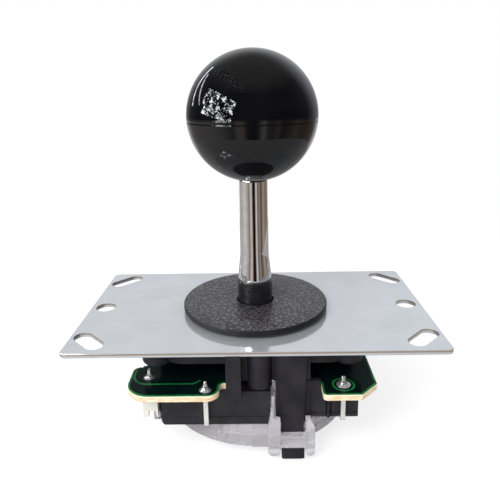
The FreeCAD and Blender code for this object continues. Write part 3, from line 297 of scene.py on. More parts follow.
actuator_black = plain_finish(
    "black actuator moulding", depth_mm=0.02, strength=0.5, edge_mm=0.1, clouds_mm=3, grain_mm=0.2,
    deep=(0.014, 0.014, 0.016), pale=(0.026, 0.026, 0.029), smooth=0.3, rough=0.45,
)
dress("actuator", actuator_black)

ring_steel = plain_finish(
    "blanked ring steel", depth_mm=0.015, strength=0.5, edge_mm=0.06, metallic=1,
    clouds_mm=0.9, grain_mm=0.08, deep=(0.22, 0.22, 0.24), pale=(0.40, 0.40, 0.42), smooth=0.25, rough=0.45,
)
dress("e_ring", ring_steel)


# Dust washer
# A black plastic disc that lies loose round the neck on a low ring of its own. It is moulded with a leather
# grain on its top, slightly glossy on the crests, and its rim is bevelled. On its top the creases are painted
# blacker as painted shade and the crests grey as painted highlight.

WASHER_TOP = 2.3
WASHER_UNDER = 0.9
WASHER_RIM = 20.35
WASHER_BEVEL = 0.3
WASHER_HOLE = 5.25
FOOT_RING_OUTER = 10.8
FOOT_RING_INNER = 9.2
FOOT_RING_HEIGHT = 0.05
CREASE_PAINTED_SHADE = (0.008, 0.008, 0.010)
CREST_PAINTED_HIGHLIGHT = (0.085, 0.079, 0.084)

leather_black, shader, place = start_material("leather-grained black plastic")
wobble = leather_black.node_tree.nodes.new("ShaderNodeTexNoise")
wobble.inputs["Scale"].default_value = 0.7
wobble.inputs["Detail"].default_value = 2
wire(leather_black, place, wobble.inputs["Vector"])
bent = leather_black.node_tree.nodes.new("ShaderNodeMix")
bent.data_type = "VECTOR"
bent.inputs[0].default_value = 0.55
wire(leather_black, place, bent.inputs[4])
wire(leather_black, wobble.outputs["Color"], bent.inputs[5])


def add_cells(feature, per_mm):
    """Uneven cells on the wobbling coordinates of the leather."""
    cells = leather_black.node_tree.nodes.new("ShaderNodeTexVoronoi")
    cells.feature = feature
    cells.inputs["Scale"].default_value = per_mm
    wire(leather_black, bent.outputs[1], cells.inputs["Vector"])
    return cells.outputs["Distance"]


on_top = spread(leather_black, height_of(leather_black, place), 0, 1, WASHER_TOP - 0.1, WASHER_TOP - 0.02)
plateau = spread(leather_black, add_cells("DISTANCE_TO_EDGE", 1.6), 0, 1, 0.02, 0.16)
crest = combine(leather_black, "MULTIPLY", plateau, on_top)
# Painted shade and highlight: black in the creases of the grain, grey on its crests.
wire(leather_black, between(leather_black, crest, CREASE_PAINTED_SHADE, CREST_PAINTED_HIGHLIGHT), shader.inputs["Base Color"])
shine = combine(leather_black, "MULTIPLY", on_top, add_share(leather_black, 0.26, crest, 0.05))
wire(leather_black, combine(leather_black, "SUBTRACT", 0.52, shine), shader.inputs["Roughness"])
pebbles = combine(leather_black, "MULTIPLY", add_cells("SMOOTH_F1", 3.2), on_top)
_, grain = add_mottle(leather_black, place, clouds_mm=6, grain_mm=0.12)
relief = add_share(leather_black, combine(leather_black, "SUBTRACT", crest, pebbles), grain, 0.04)
add_relief(leather_black, shader, relief, depth_mm=0.085)


def begin(name):
    """Names the primitive that was just added, puts its place into its mesh, and deselects all of it."""
    piece = bpy.context.object
    piece.name = name
    piece.data.name = name
    bpy.ops.object.select_all(action="DESELECT")
    piece.select_set(True)
    bpy.ops.object.transform_apply(location=True, rotation=True, scale=True)
    bpy.ops.object.mode_set(mode="EDIT")
    bpy.ops.mesh.select_mode(type="VERT")
    bpy.ops.mesh.select_all(action="DESELECT")
    bpy.ops.object.mode_set(mode="OBJECT")
    return piece


def extrude(x, y, z):
    """Extrudes what is selected by a step in mm."""
    bpy.ops.mesh.extrude_region_move(TRANSFORM_OT_translate={"value": (x * MM, y * MM, z * MM)})


def widen(x, y, centre=(0, 0)):
    """Scales what is selected in plan, about an upright line at a place in mm."""
    bpy.ops.transform.resize(value=(x, y, 1), center_override=(centre[0] * MM, centre[1] * MM, 0))


def turn_on_lathe(name, profile, around):
    """Turns a piece about the lever's axis: a circle, extruded to each next (radius, height) in mm."""
    radius, height = profile[0]
    bpy.ops.mesh.primitive_circle_add(vertices=around, radius=radius * MM, location=(0, 0, height * MM))
    piece = begin(name)
    bpy.ops.object.mode_set(mode="EDIT")
    bpy.ops.mesh.select_all(action="SELECT")
    for next_radius, next_height in profile[1:]:
        extrude(0, 0, next_height - height)
        widen(next_radius / radius, next_radius / radius)
        radius, height = next_radius, next_height
    return piece


def merge_doubles(apart_mm=0.002):
    """Welds all vertices that lie on each other."""
    bpy.ops.mesh.select_all(action="SELECT")
    bpy.ops.mesh.remove_doubles(threshold=apart_mm * MM)


def pick(piece, kind, test):
    """Selects only the vertices, edges or faces that pass the test, in edit mode.

    The test gets a vertex's place, an edge's middle and run, or a face's middle and normal.
    """
    bpy.context.view_layer.objects.active = piece
    bpy.ops.object.mode_set(mode="EDIT")
    bpy.ops.mesh.select_mode(type=kind)
    bpy.ops.mesh.select_all(action="DESELECT")
    bpy.ops.object.mode_set(mode="OBJECT")
    mesh = piece.data
    if kind == "FACE":
        for face in mesh.polygons:
            face.select = test(face.center / MM, face.normal)
    elif kind == "EDGE":
        for edge in mesh.edges:
            first = mesh.vertices[edge.vertices[0]].co
            second = mesh.vertices[edge.vertices[1]].co
            edge.select = test((first + second) / 2 / MM, (second - first) / MM)
    else:
        for vertex in mesh.vertices:
            vertex.select = test(vertex.co / MM)
    bpy.ops.object.mode_set(mode="EDIT")


def soften(piece, test, width, steps=2):
    """Bevels the edges that pass the test."""
    pick(piece, "EDGE", test)
    bpy.ops.mesh.bevel(offset=width * MM, segments=steps, profile=0.5, affect="EDGES")


def radius_of(middle):
    return math.hypot(middle.x, middle.y)


def is_level(run):
    return abs(run.z) < 0.001


def leave_edit(piece, smooth_degrees):
    """Ends edit mode with the piece at the origin, outward faces and smooth shading between flat faces."""
    merge_doubles()
    bpy.ops.mesh.normals_make_consistent(inside=False)
    bpy.ops.object.mode_set(mode="OBJECT")
    bpy.ops.object.select_all(action="DESELECT")
    piece.select_set(True)
    bpy.context.view_layer.objects.active = piece
    bpy.ops.object.transform_apply(location=True, rotation=True, scale=True)
    bpy.ops.object.shade_smooth_by_angle(angle=math.radians(smooth_degrees))
    piece.select_set(False)


def give_finish(piece, material, body, slot, *nodes):
    """Dresses a new piece, says which body it rides on and which nodes it stands for."""
    piece.data.materials.clear()
    piece.data.materials.append(material)
    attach(piece, body)
    if nodes:
        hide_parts(*nodes)


washer = turn_on_lathe("washer_disc", [
    (WASHER_HOLE, WASHER_TOP), (WASHER_RIM - WASHER_BEVEL, WASHER_TOP),
    (WASHER_RIM, WASHER_TOP - WASHER_BEVEL), (WASHER_RIM, WASHER_UNDER),
    (FOOT_RING_OUTER, WASHER_UNDER), (FOOT_RING_OUTER, FOOT_RING_HEIGHT),
    (FOOT_RING_INNER, FOOT_RING_HEIGHT), (FOOT_RING_INNER, WASHER_UNDER),
    (WASHER_HOLE, WASHER_UNDER), (WASHER_HOLE, WASHER_TOP),
], around=160)
merge_doubles()


def at_rim_bevel(mid, run):
    near_bevel = abs(radius_of(mid) - WASHER_RIM + WASHER_BEVEL / 2) < 0.2
    return is_level(run) and near_bevel and mid.z > WASHER_TOP - WASHER_BEVEL - 0.1


def at_hole(mid, run):
    return is_level(run) and radius_of(mid) < WASHER_HOLE + 0.15 and mid.z > WASHER_TOP - 0.1


soften(washer, at_rim_bevel, 0.09)
soften(washer, at_hole, 0.12)
leave_edit(washer, 40)
give_finish(washer, leather_black, "washer", "washer_black", "dust_washer")


# Lever shaft
# A turned steel rod, ground and bright chrome plated. It swells out to a shoulder that stands on the pivot's
# neck, and its slim lower end goes down through the pivot and the actuator to the ring's groove.

SHAFT_RADIUS = 4.0
STUD_RADIUS = 3.0
STUD_TOP = 49.05
ROD_TOP = 37.45
SWELL_TOP = 16.5
SWELL = (
    (4.01, 16.0), (4.05, 15.4), (4.12, 14.7), (4.22, 13.8), (4.33, 12.8), (4.44, 11.8), (4.54, 10.9),
    (4.62, 10.1), (4.67, 9.4), (4.7, 8.8),
)
SHOULDER_RADIUS = 4.67
SHOULDER_FOOT = 8.35
GROOVE_RADIUS = 2.4
GROOVE_TOP = -19.05
GROOVE_FOOT = -19.75
SHAFT_FOOT = -27.4
SHAFT_CHAMFER = 0.4
CENTRE_MARK_RADIUS = 1.2

chrome, shader, place = start_material("bright chrome plating")
clouds, grain = add_mottle(chrome, place, clouds_mm=4, grain_mm=0.35)
tint = between(chrome, spread(chrome, clouds, 0, 1), (0.74, 0.72, 0.71), (0.84, 0.83, 0.82))
wire(chrome, tint, shader.inputs["Base Color"])
shader.inputs["Metallic"].default_value = 1
ground_rings = add_streaks(chrome, place, (0.2, 0.2, 9))
wire(chrome, spread(chrome, ground_rings, 0.04, 0.10), shader.inputs["Roughness"])
add_relief(chrome, shader, combine(chrome, "ADD", ground_rings, grain), depth_mm=0.004, strength=0.35)

shaft = turn_on_lathe("chrome_shaft", [
    (CENTRE_MARK_RADIUS, 48.4), (STUD_RADIUS - SHAFT_CHAMFER, STUD_TOP),
    (STUD_RADIUS, STUD_TOP - SHAFT_CHAMFER), (STUD_RADIUS, ROD_TOP), (SHAFT_RADIUS - 0.4, ROD_TOP),
    (SHAFT_RADIUS - 0.14, ROD_TOP - 0.09), (SHAFT_RADIUS, ROD_TOP - 0.4), (SHAFT_RADIUS, ROD_TOP - 0.65),
    (SHAFT_RADIUS, SWELL_TOP), *SWELL, (SHOULDER_RADIUS, SHOULDER_FOOT), (STUD_RADIUS, SHOULDER_FOOT),
    (STUD_RADIUS, GROOVE_TOP), (GROOVE_RADIUS, GROOVE_TOP), (GROOVE_RADIUS, GROOVE_FOOT),
    (STUD_RADIUS, GROOVE_FOOT), (STUD_RADIUS, SHAFT_FOOT + SHAFT_CHAMFER),
    (STUD_RADIUS - SHAFT_CHAMFER, SHAFT_FOOT), (CENTRE_MARK_RADIUS, SHAFT_FOOT),
], around=128)
pick(shaft, "EDGE", lambda mid, run: is_level(run) and radius_of(mid) < CENTRE_MARK_RADIUS + 0.05)
bpy.ops.mesh.edge_face_add()
bpy.ops.mesh.select_all(action="DESELECT")
pick(shaft, "FACE", lambda mid, normal: radius_of(mid) < 1.0 and mid.z < SHAFT_FOOT + 0.4)
bpy.ops.mesh.inset(thickness=0.5 * MM)
extrude(0, 0, 1.4)
widen(0.25, 0.25)


def at_seat(mid, run):
    return is_level(run) and abs(radius_of(mid) - STUD_RADIUS) < 0.02 and abs(mid.z - SHOULDER_FOOT) < 0.01


soften(shaft, at_seat, 0.1)
leave_edit(shaft, 30)
give_finish(shaft, chrome, "stick", "shaft_chrome", "lever_shaft")


# Ball top and its insert
# A solid black ball, moulded in two halves round a threaded brass insert and polished to a deep gloss. A very
# fine parting line runs round its middle, and its foot is a small flat with the insert's mouth in it.

BALL_RADIUS = 17.5
BALL_MIDDLE = 54.2
BALL_FOOT = 37.6
BALL_RINGS = 96
BALL_SEAM = BALL_MIDDLE - BALL_RADIUS * math.sin(math.radians(2 * 180 / BALL_RINGS))
SEAM_DIP = 0.9985

ball_black, shader, place = start_material("deep gloss black")
clouds, _ = add_mottle(ball_black, place, clouds_mm=7, grain_mm=0.8)
tint = between(ball_black, spread(ball_black, clouds, 0, 1), (0.0025, 0.0025, 0.003), (0.004, 0.004, 0.0045))
wire(ball_black, tint, shader.inputs["Base Color"])
wire(ball_black, spread(ball_black, clouds, 0.025, 0.05), shader.inputs["Roughness"])
shader.inputs["Specular IOR Level"].default_value = 0.46
add_relief(ball_black, shader, clouds, depth_mm=0.01, strength=0.15)

bpy.ops.mesh.primitive_uv_sphere_add(
    segments=160, ring_count=BALL_RINGS, radius=BALL_RADIUS * MM, location=(0, 0, BALL_MIDDLE * MM)
)
ball = begin("gloss_ball")
bpy.ops.object.mode_set(mode="EDIT")
bpy.ops.mesh.select_all(action="SELECT")
bpy.ops.mesh.bisect(plane_co=(0, 0, BALL_FOOT * MM), plane_no=(0, 0, 1), clear_inner=True)
pick(ball, "EDGE", lambda mid, run: abs(mid.z - BALL_FOOT) < 0.01 and is_level(run))
for ratio, rise in ((0.95, -0.04), (0.92, 0.0), (0.91, 0.5), (1.0, 12.0)):
    extrude(0, 0, rise)
    widen(ratio, ratio)
bpy.ops.mesh.edge_face_add()


def on_seam(place, within=0.02):
    return abs(place.z - BALL_SEAM) < within and radius_of(place) > BALL_RADIUS - 0.5


soften(ball, lambda mid, run: on_seam(mid, 0.01) and is_level(run), 0.09)
pick(ball, "VERT", on_seam)
widen(SEAM_DIP, SEAM_DIP)
leave_edit(ball, 50)
give_finish(ball, ball_black, "stick", "ball_black", "ball_top")

insert_brass = plain_finish(
    "turned brass", depth_mm=0.015, strength=0.5, metallic=1, clouds_mm=1.5, grain_mm=0.1,
    deep=(0.50, 0.35, 0.13), pale=(0.70, 0.52, 0.24), smooth=0.2, rough=0.35,
)
dress("ball_insert", insert_brass)


# Circuit board
# A glass and resin laminate, lacquered very dark green on both faces and left bare and tan on its cut edge.
# The lacquer thins to a brighter green at the rim, over the copper track and over the pad ring at a lead.
# The top of the cut edge is painted paler as a painted highlight.

BOARD_TOP = -9.5
BOARD_UNDER = -11.1
TRACK_RISE = 0.035
TRACK_WIDTH = 0.5
RIM_WIDTH = 0.5
LACQUER_DEEP = (0.0008, 0.005, 0.006)
LACQUER_PALE = (0.0016, 0.010, 0.008)
LACQUER_RIM = (0.01, 0.16, 0.045)
LAMINATE_TAN = (0.74, 0.50, 0.28)
LAMINATE_CREAM = (0.93, 0.84, 0.64)
EDGE_TOP_PAINTED_HIGHLIGHT = (0.88, 0.86, 0.68)

board_green, shader, place = start_material("lacquered laminate")
clouds, grain = add_mottle(board_green, place, clouds_mm=9, grain_mm=0.25)
level = height_of(board_green, place)
layers = add_streaks(board_green, place, (0.5, 0.5, 5))
cut_edge = between(board_green, spread(board_green, layers, 0, 1), LAMINATE_TAN, LAMINATE_CREAM)
# Painted highlight: the upper part of the cut edge is paler.
upper = spread(board_green, level, 0, 0.8, BOARD_TOP - 0.45, BOARD_TOP - 0.3)
cut_edge = between(board_green, upper, cut_edge, EDGE_TOP_PAINTED_HIGHLIGHT)
lip = spread(board_green, level, 0, 1, BOARD_TOP - 0.12, BOARD_TOP - 0.06)
cut_edge = between(board_green, lip, cut_edge, LACQUER_RIM)
top_face = spread(board_green, level, 0, 1, BOARD_TOP - 0.02, BOARD_TOP - 0.005)
under_face = spread(board_green, level, 1, 0, BOARD_UNDER + 0.005, BOARD_UNDER + 0.02)
on_face = combine(board_green, "MAXIMUM", top_face, under_face)
lacquer = between(board_green, spread(board_green, clouds, 0, 1), LACQUER_DEEP, LACQUER_PALE)
wire(board_green, between(board_green, on_face, cut_edge, lacquer), shader.inputs["Base Color"])
wire(board_green, spread(board_green, on_face, 0.6, 0.18, 0, 1), shader.inputs["Roughness"])
shader.inputs["Specular IOR Level"].default_value = 0.25
add_relief(board_green, shader, grain, depth_mm=0.012, strength=0.5)
dress("circuit_board", board_green)

track_green = plain_finish(
    "green lacquer over copper", depth_mm=0.012, strength=0.4, clouds_mm=3, grain_mm=0.2,
    deep=(0.004, 0.10, 0.022), pale=(0.02, 0.20, 0.055), smooth=0.15, rough=0.28,
)


def place_mesh(piece, x, y, degrees=0.0):
    """Turns a finished mesh about Z and sets it down at a place in mm, without moving its object."""
    turn = Matrix.Rotation(math.radians(degrees), 4, "Z")
    piece.data.transform(Matrix.Translation((x * MM, y * MM, 0)) @ turn)


def raise_and_finish(piece, smooth_degrees):
    """Gives a flat outline in the lacquer its low height."""
    bpy.ops.mesh.select_all(action="SELECT")
    extrude(0, 0, TRACK_RISE)
    leave_edit(piece, smooth_degrees)
    give_finish(piece, track_green, "base", "board_green")


def lay_track(name, x, y, heading, width, runs):
    """A copper track. Each run is a straight length, or a bend's radius and its turn in degrees."""
    bpy.ops.mesh.primitive_plane_add(size=width * MM, location=(0, 0, BOARD_TOP * MM))
    track = begin(name)
    pick(track, "VERT", lambda at: at.x < 0)
    bpy.ops.mesh.delete(type="VERT")
    bpy.ops.object.mode_set(mode="OBJECT")
    track.data.transform(Matrix.Translation((-width / 2 * MM, 0, 0)))
    place_mesh(track, x, y, heading)
    pick(track, "EDGE", lambda mid, run: True)
    at = Vector((x, y, 0))
    for run in runs:
        ahead = Vector((math.cos(math.radians(heading)), math.sin(math.radians(heading)), 0))
        if len(run) == 1:
            step = ahead * run[0]
            extrude(*step)
            at += step
        else:
            radius, turn = run
            left = Vector((-ahead.y, ahead.x, 0)) * (radius if turn > 0 else -radius)
            middle = at + left
            bpy.ops.mesh.spin(
                steps=max(2, int(abs(turn) / 6)), angle=math.radians(-turn), axis=(0, 0, 1),
                center=(middle.x * MM, middle.y * MM, BOARD_TOP * MM),
            )
            at = middle - Matrix.Rotation(math.radians(turn), 3, "Z") @ left
            heading += turn
    raise_and_finish(track, 30)


def lay_ring(name, x, y, inner, outer):
    """The copper pad round a lead: a disc, inset, its middle removed, raised as a ring in the lacquer."""
    bpy.ops.mesh.primitive_circle_add(
        vertices=64, radius=outer * MM, fill_type="NGON", location=(0, 0, BOARD_TOP * MM)
    )
    ring = begin(name)
    bpy.ops.object.mode_set(mode="EDIT")
    bpy.ops.mesh.select_all(action="SELECT")
    bpy.ops.mesh.inset(thickness=(outer - inner) * MM)
    bpy.ops.mesh.delete(type="FACE")
    raise_and_finish(ring, 40)
    place_mesh(ring, x, y)


lay_track("track_left", -13.9, -22.9, 229, TRACK_WIDTH, [
    (1.3,), (1.6, -49), (10.9,), (4.0, -90), (1.8,), (3.0, -20), (0.6,),
])
lay_ring("ring_right", 21.3, -25.4, inner=2.3, outer=2.8)


def copy_of(piece, name):
    """A copy with its own mesh."""
    twin = piece.copy()
    twin.data = piece.data.copy()
    twin.name = name
    twin.data.name = name
    bpy.context.collection.objects.link(twin)
    return twin


rim = copy_of(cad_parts["circuit_board"], "lacquer_rim")
pick(rim, "FACE", lambda mid, normal: normal.z < 0.9 or mid.z < BOARD_TOP - 0.01)
bpy.ops.mesh.delete(type="FACE")
merge_doubles(0.005)
bpy.ops.mesh.dissolve_limited(angle_limit=math.radians(1))
bpy.ops.mesh.select_all(action="SELECT")
bpy.ops.mesh.inset(thickness=RIM_WIDTH * MM)
bpy.ops.mesh.delete(type="FACE")
raise_and_finish(rim, 30)


# Solder joints
# Each lead stands in a bright skirt of solder that flares out on its pad and climbs the lead. They are
# soldered by hand, so no two are quite alike.

BLADE_THICKNESS = 0.6
OPEN_BLADE_X = -12.3
OPEN_BLADE_FACE = 25.5
OPEN_BLADE_REACH = 1.2
COMMON_BLADE_X = 21.35
COMMON_BLADE_FACE = 24.15
COMMON_BLADE_REACH = 0.85
OPEN_LEAD = (OPEN_BLADE_X, -(OPEN_BLADE_FACE + OPEN_BLADE_REACH + BLADE_THICKNESS / 2))
COMMON_LEAD = (-(COMMON_BLADE_FACE + COMMON_BLADE_REACH + BLADE_THICKNESS / 2), -COMMON_BLADE_X)
ANCHOR_LEAD = (-26.95, -21.3)
SKIRT_SPREAD = (1.5, 1.5, 1.5, 1.5, 1.75, 1.6, 1.6, 1.45)
SKIRT_RISES = (
    (1.0, 0), (0.96, 0.07), (0.76, 0.24), (0.57, 0.5), (0.43, 0.85), (0.33, 1.2), (0.28, 1.55), (0.27, 1.9),
    (0.22, 2.1), (0.1, 2.2),
)

solder, shader, _, clouds, _ = start_mottled(
    "fresh solder", clouds_mm=1.1, grain_mm=0.15,
    deep=(0.82, 0.79, 0.78), pale=(0.95, 0.94, 0.93), smooth=0.14, rough=0.3,
)
shader.inputs["Metallic"].default_value = 0.88
add_relief(solder, shader, clouds, depth_mm=0.06, strength=0.5)


def turned_place(at, degrees):
    turn = math.radians(degrees)
    return at[0] * math.cos(turn) - at[1] * math.sin(turn), at[0] * math.sin(turn) + at[1] * math.cos(turn)


def join_into(first, others):
    bpy.ops.object.select_all(action="DESELECT")
    for piece in others:
        piece.select_set(True)
    first.select_set(True)
    bpy.context.view_layer.objects.active = first
    bpy.ops.object.join()
    first.select_set(False)
    return first


skirt_profile = [(radius, BOARD_TOP + rise) for radius, rise in SKIRT_RISES]
skirt = turn_on_lathe("solder_skirt", skirt_profile, around=32)
for end_height in (skirt_profile[-1][1], BOARD_TOP):
    pick(skirt, "EDGE", lambda mid, run: is_level(run) and abs(mid.z - end_height) < 0.01)
    bpy.ops.mesh.edge_face_add()
leave_edit(skirt, 60)
lumps = bpy.data.textures.new("solder lumps", "CLOUDS")
lumps.noise_scale = 1.5 * MM
lead_places = [turned_place(OPEN_LEAD, 90 * quarter) for quarter in range(4)]
lead_places += [turned_place(COMMON_LEAD, 90 * quarter) for quarter in (1, 2, 3)] + [ANCHOR_LEAD]
skirts = []
for number, (x, y) in enumerate(lead_places):
    twin = copy_of(skirt, f"skirt_{number}")
    twin.data.transform(Matrix.Diagonal((SKIRT_SPREAD[number], SKIRT_SPREAD[number], 1, 1)))
    place_mesh(twin, x, y, 47 * number)
    uneven = twin.modifiers.new("uneven", "DISPLACE")
    uneven.texture = lumps
    uneven.texture_coords = "LOCAL"
    uneven.strength = 0.35 * MM
    uneven.mid_level = 0.5
    bpy.context.view_layer.objects.active = twin
    bpy.ops.object.modifier_apply(modifier="uneven")
    skirts.append(twin)
solder_skirts = join_into(skirts[0], skirts[1:])
solder_skirts.name = "solder_skirts"
bpy.data.objects.remove(skirt)
give_finish(solder_skirts, solder, "base", "solder", "solder_joints")


# Switch terminals and header pins
# Each switch has two stamped brass blades, tinned bright: they leave the case at its foot, bend up and
# narrow to a pin that passes through the board. The header's pins are square tinned wire.

SIDES = ("front", "right", "back", "left")
BLADE_WIDTH = 1.1
BLADE_FOOT = -19.45
BLADE_TOP = -7.3
BLADE_TIP = 0.15

tinned = plain_finish(
    "tin plating", depth_mm=0.015, strength=0.5, edge_mm=0.1, metallic=0.5, clouds_mm=1.6, grain_mm=0.12,
    deep=(0.88, 0.86, 0.80), pale=(0.97, 0.96, 0.93), smooth=0.25, rough=0.4,
)
dress("connector_pins", tinned)


def bend_blade(name, x, face, reach, top):
    """One blade at the front: a strip out of the case's face, bent up, its upper part drawn in to a pin."""
    middle = -(face + reach + BLADE_THICKNESS / 2)
    outer = -(face + reach + BLADE_THICKNESS)
    bpy.ops.mesh.primitive_cube_add(
        size=1, location=(x * MM, middle * MM, (BLADE_FOOT + BOARD_UNDER) / 2 * MM),
        scale=(BLADE_WIDTH * MM, BLADE_THICKNESS * MM, (BOARD_UNDER - BLADE_FOOT) * MM),
    )
    blade = begin(name)
    bpy.ops.object.mode_set(mode="EDIT")
    bpy.ops.mesh.select_all(action="SELECT")
    bpy.ops.mesh.bisect(plane_co=(0, 0, (BLADE_FOOT + BLADE_THICKNESS) * MM), plane_no=(0, 0, 1))
    if reach:
        pick(blade, "FACE", lambda mid, normal: normal.y > 0.9 and mid.z < BLADE_FOOT + BLADE_THICKNESS)
        extrude(0, reach, 0)
    if top > BOARD_UNDER:
        pick(blade, "FACE", lambda mid, normal: normal.z > 0.9 and mid.z > BOARD_UNDER - 0.01)
        bpy.ops.mesh.inset(thickness=0.12 * MM)
        widen(0.75, 1, (x, 0))
        extrude(0, 0, top - BLADE_TIP - BOARD_UNDER)
        extrude(0, 0, BLADE_TIP)
        widen(0.6, 0.5, (x, middle))

    def at_bend(mid, run):
        return abs(run.x) > 0.5 and abs(mid.y - outer) < 0.01 and abs(mid.z - BLADE_FOOT) < 0.01

    soften(blade, at_bend, 0.5, 4)
    leave_edit(blade, 40)
    return blade


for quarter, side in enumerate(SIDES):
    open_blade = bend_blade(f"blades_{side}", OPEN_BLADE_X, OPEN_BLADE_FACE, OPEN_BLADE_REACH, BLADE_TOP)
    place_mesh(open_blade, 0, 0, 90 * quarter)
    in_header = side == "front"
    reach = 0 if in_header else COMMON_BLADE_REACH
    top = BOARD_UNDER if in_header else BLADE_TOP
    common_blade = bend_blade(f"common_{side}", COMMON_BLADE_X, COMMON_BLADE_FACE, reach, top)
    place_mesh(common_blade, 0, 0, 90 * quarter - 90)
    blades = join_into(open_blade, [common_blade])
    give_finish(blades, tinned, "base", "tinned_blades", f"switch_terminals_{side}")


# Connector header
# A five-way shroud moulded in natural nylon, creamy white and a little translucent, with its mouth
# downwards and slots in its outer wall.

nylon_white = plain_finish(
    "natural nylon", depth_mm=0.015, strength=0.4, edge_mm=0.12, clouds_mm=3, grain_mm=0.2,
    deep=(0.74, 0.73, 0.65), pale=(0.82, 0.81, 0.75), smooth=0.38, rough=0.5,
)
shader = nylon_white.node_tree.nodes["Principled BSDF"]
shader.inputs["Subsurface Weight"].default_value = 0.15
shader.inputs["Subsurface Radius"].default_value = (0.001, 0.0008, 0.0006)
shader.inputs["Subsurface Scale"].default_value = 1.0
dress("connector_header", nylon_white)


# Microswitches
# Four snap switches stand in a pinwheel under the board. Case and cover are two shells of black moulding that
# meet in a fine seam, with a groove down one end, and each has a small dark plunger.

switch_black, shader, _, clouds, grain = start_mottled(
    "black switch moulding", clouds_mm=4, grain_mm=0.14,
    deep=(0.011, 0.010, 0.014), pale=(0.023, 0.021, 0.027), smooth=0.36, rough=0.52,
)
tool_grain = add_share(switch_black, grain, clouds, 0.4)
add_relief(switch_black, shader, tool_grain, depth_mm=0.03, strength=0.7, edge_mm=0.16)

plunger_dark = plain_finish(
    "plunger acetal", depth_mm=0.012, strength=0.5, edge_mm=0.1, clouds_mm=1.4, grain_mm=0.12,
    deep=(0.030, 0.012, 0.010), pale=(0.052, 0.022, 0.018), smooth=0.28, rough=0.42,
)

for side in SIDES:
    dress(f"switch_case_{side}", switch_black)
    dress(f"switch_cover_{side}", switch_black)
    dress(f"switch_plunger_{side}", plunger_dark)


# Restrictor gate
# One cloudy, translucent moulding, clipped from below over the four hooked legs. It is pale grey with a
# hint of lavender, and its walls look darker where light passes through more of it.

gate_clear, shader, place = start_material("translucent moulding")
clouds, grain = add_mottle(gate_clear, place, clouds_mm=7, grain_mm=0.3)
tint = between(gate_clear, spread(gate_clear, clouds, 0, 1), (0.78, 0.76, 0.80), (0.90, 0.88, 0.92))
wire(gate_clear, tint, shader.inputs["Base Color"])
wire(gate_clear, spread(gate_clear, clouds, 0.2, 0.32), shader.inputs["Roughness"])
shader.inputs["Transmission Weight"].default_value = 0.62
shader.inputs["IOR"].default_value = 1.49
ripple = add_share(gate_clear, clouds, grain, 0.2)
add_relief(gate_clear, shader, ripple, depth_mm=0.05, strength=0.4, edge_mm=0.2)
dress("restrictor_gate", gate_clear)


# Floor, room and light
# The lever stands on a round white table before white. The gloss parts reflect a plain dark room: a window
# with leaves outside it at the left, a paler wall behind at the right, and tall upright shapes that band
# the chrome.

TABLE_RADIUS = 0.17
TABLE_SET_BACK = 0.05
TABLE_GLOW = 0.7

floor_white, shader, place = start_material("white table")
clouds, _ = add_mottle(floor_white, place, clouds_mm=60, grain_mm=1)
tint = between(floor_white, spread(floor_white, clouds, 0, 1), (0.42, 0.42, 0.42), (0.45, 0.45, 0.45))
wire(floor_white, tint, shader.inputs["Base Color"])
shader.inputs["Roughness"].default_value = 0.9
shader.inputs["Specular IOR Level"].default_value = 0.1


def seen_by_camera(material):
    """1 on a ray from the camera, straight or through the clear gate, and 0 on any other."""
    rays = material.node_tree.nodes.new("ShaderNodeLightPath")
    return combine(material, "MAXIMUM", rays.outputs["Is Camera Ray"], rays.outputs["Is Transmission Ray"])


bright = floor_white.node_tree.nodes.new("ShaderNodeEmission")
glow = combine(floor_white, "MULTIPLY", seen_by_camera(floor_white), TABLE_GLOW)
wire(floor_white, glow, bright.inputs["Strength"])
lit = floor_white.node_tree.nodes.new("ShaderNodeAddShader")
wire(floor_white, shader.outputs["BSDF"], lit.inputs[0])
wire(floor_white, bright.outputs["Emission"], lit.inputs[1])
side_seen = floor_white.node_tree.nodes.new("ShaderNodeNewGeometry")
clear = floor_white.node_tree.nodes.new("ShaderNodeBsdfTransparent")
from_above = floor_white.node_tree.nodes.new("ShaderNodeMixShader")
wire(floor_white, side_seen.outputs["Backfacing"], from_above.inputs[0])
wire(floor_white, lit.outputs[0], from_above.inputs[1])
wire(floor_white, clear.outputs[0], from_above.inputs[2])
wire(floor_white, from_above.outputs[0], floor_white.node_tree.nodes["Material Output"].inputs["Surface"])

floor_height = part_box("housing")[0][2]
bpy.ops.mesh.primitive_circle_add(
    vertices=128, radius=TABLE_RADIUS, fill_type="NGON", location=(0, TABLE_SET_BACK, floor_height)
)
floor = begin("floor")
floor.data.materials.append(floor_white)


def start_glow(name, strength, leaf_size, open_share):
    """Light from outdoors through leaves: a bright tone broken up by dark clumps of a size in mm."""
    material, _, place = start_material(name)
    clumps, fine = add_mottle(material, place, leaf_size, leaf_size / 4)
    tangle = add_share(material, combine(material, "MULTIPLY", clumps, 0.6), fine, 0.4)
    gaps = spread(material, tangle, 0, strength, 0.5 - open_share, 0.58 - open_share)
    glow = material.node_tree.nodes.new("ShaderNodeEmission")
    glow.inputs["Color"].default_value = (0.9, 0.95, 1.0, 1)
    wire(material, gaps, glow.inputs["Strength"])
    wire(material, glow.outputs["Emission"], material.node_tree.nodes["Material Output"].inputs["Surface"])
    return material


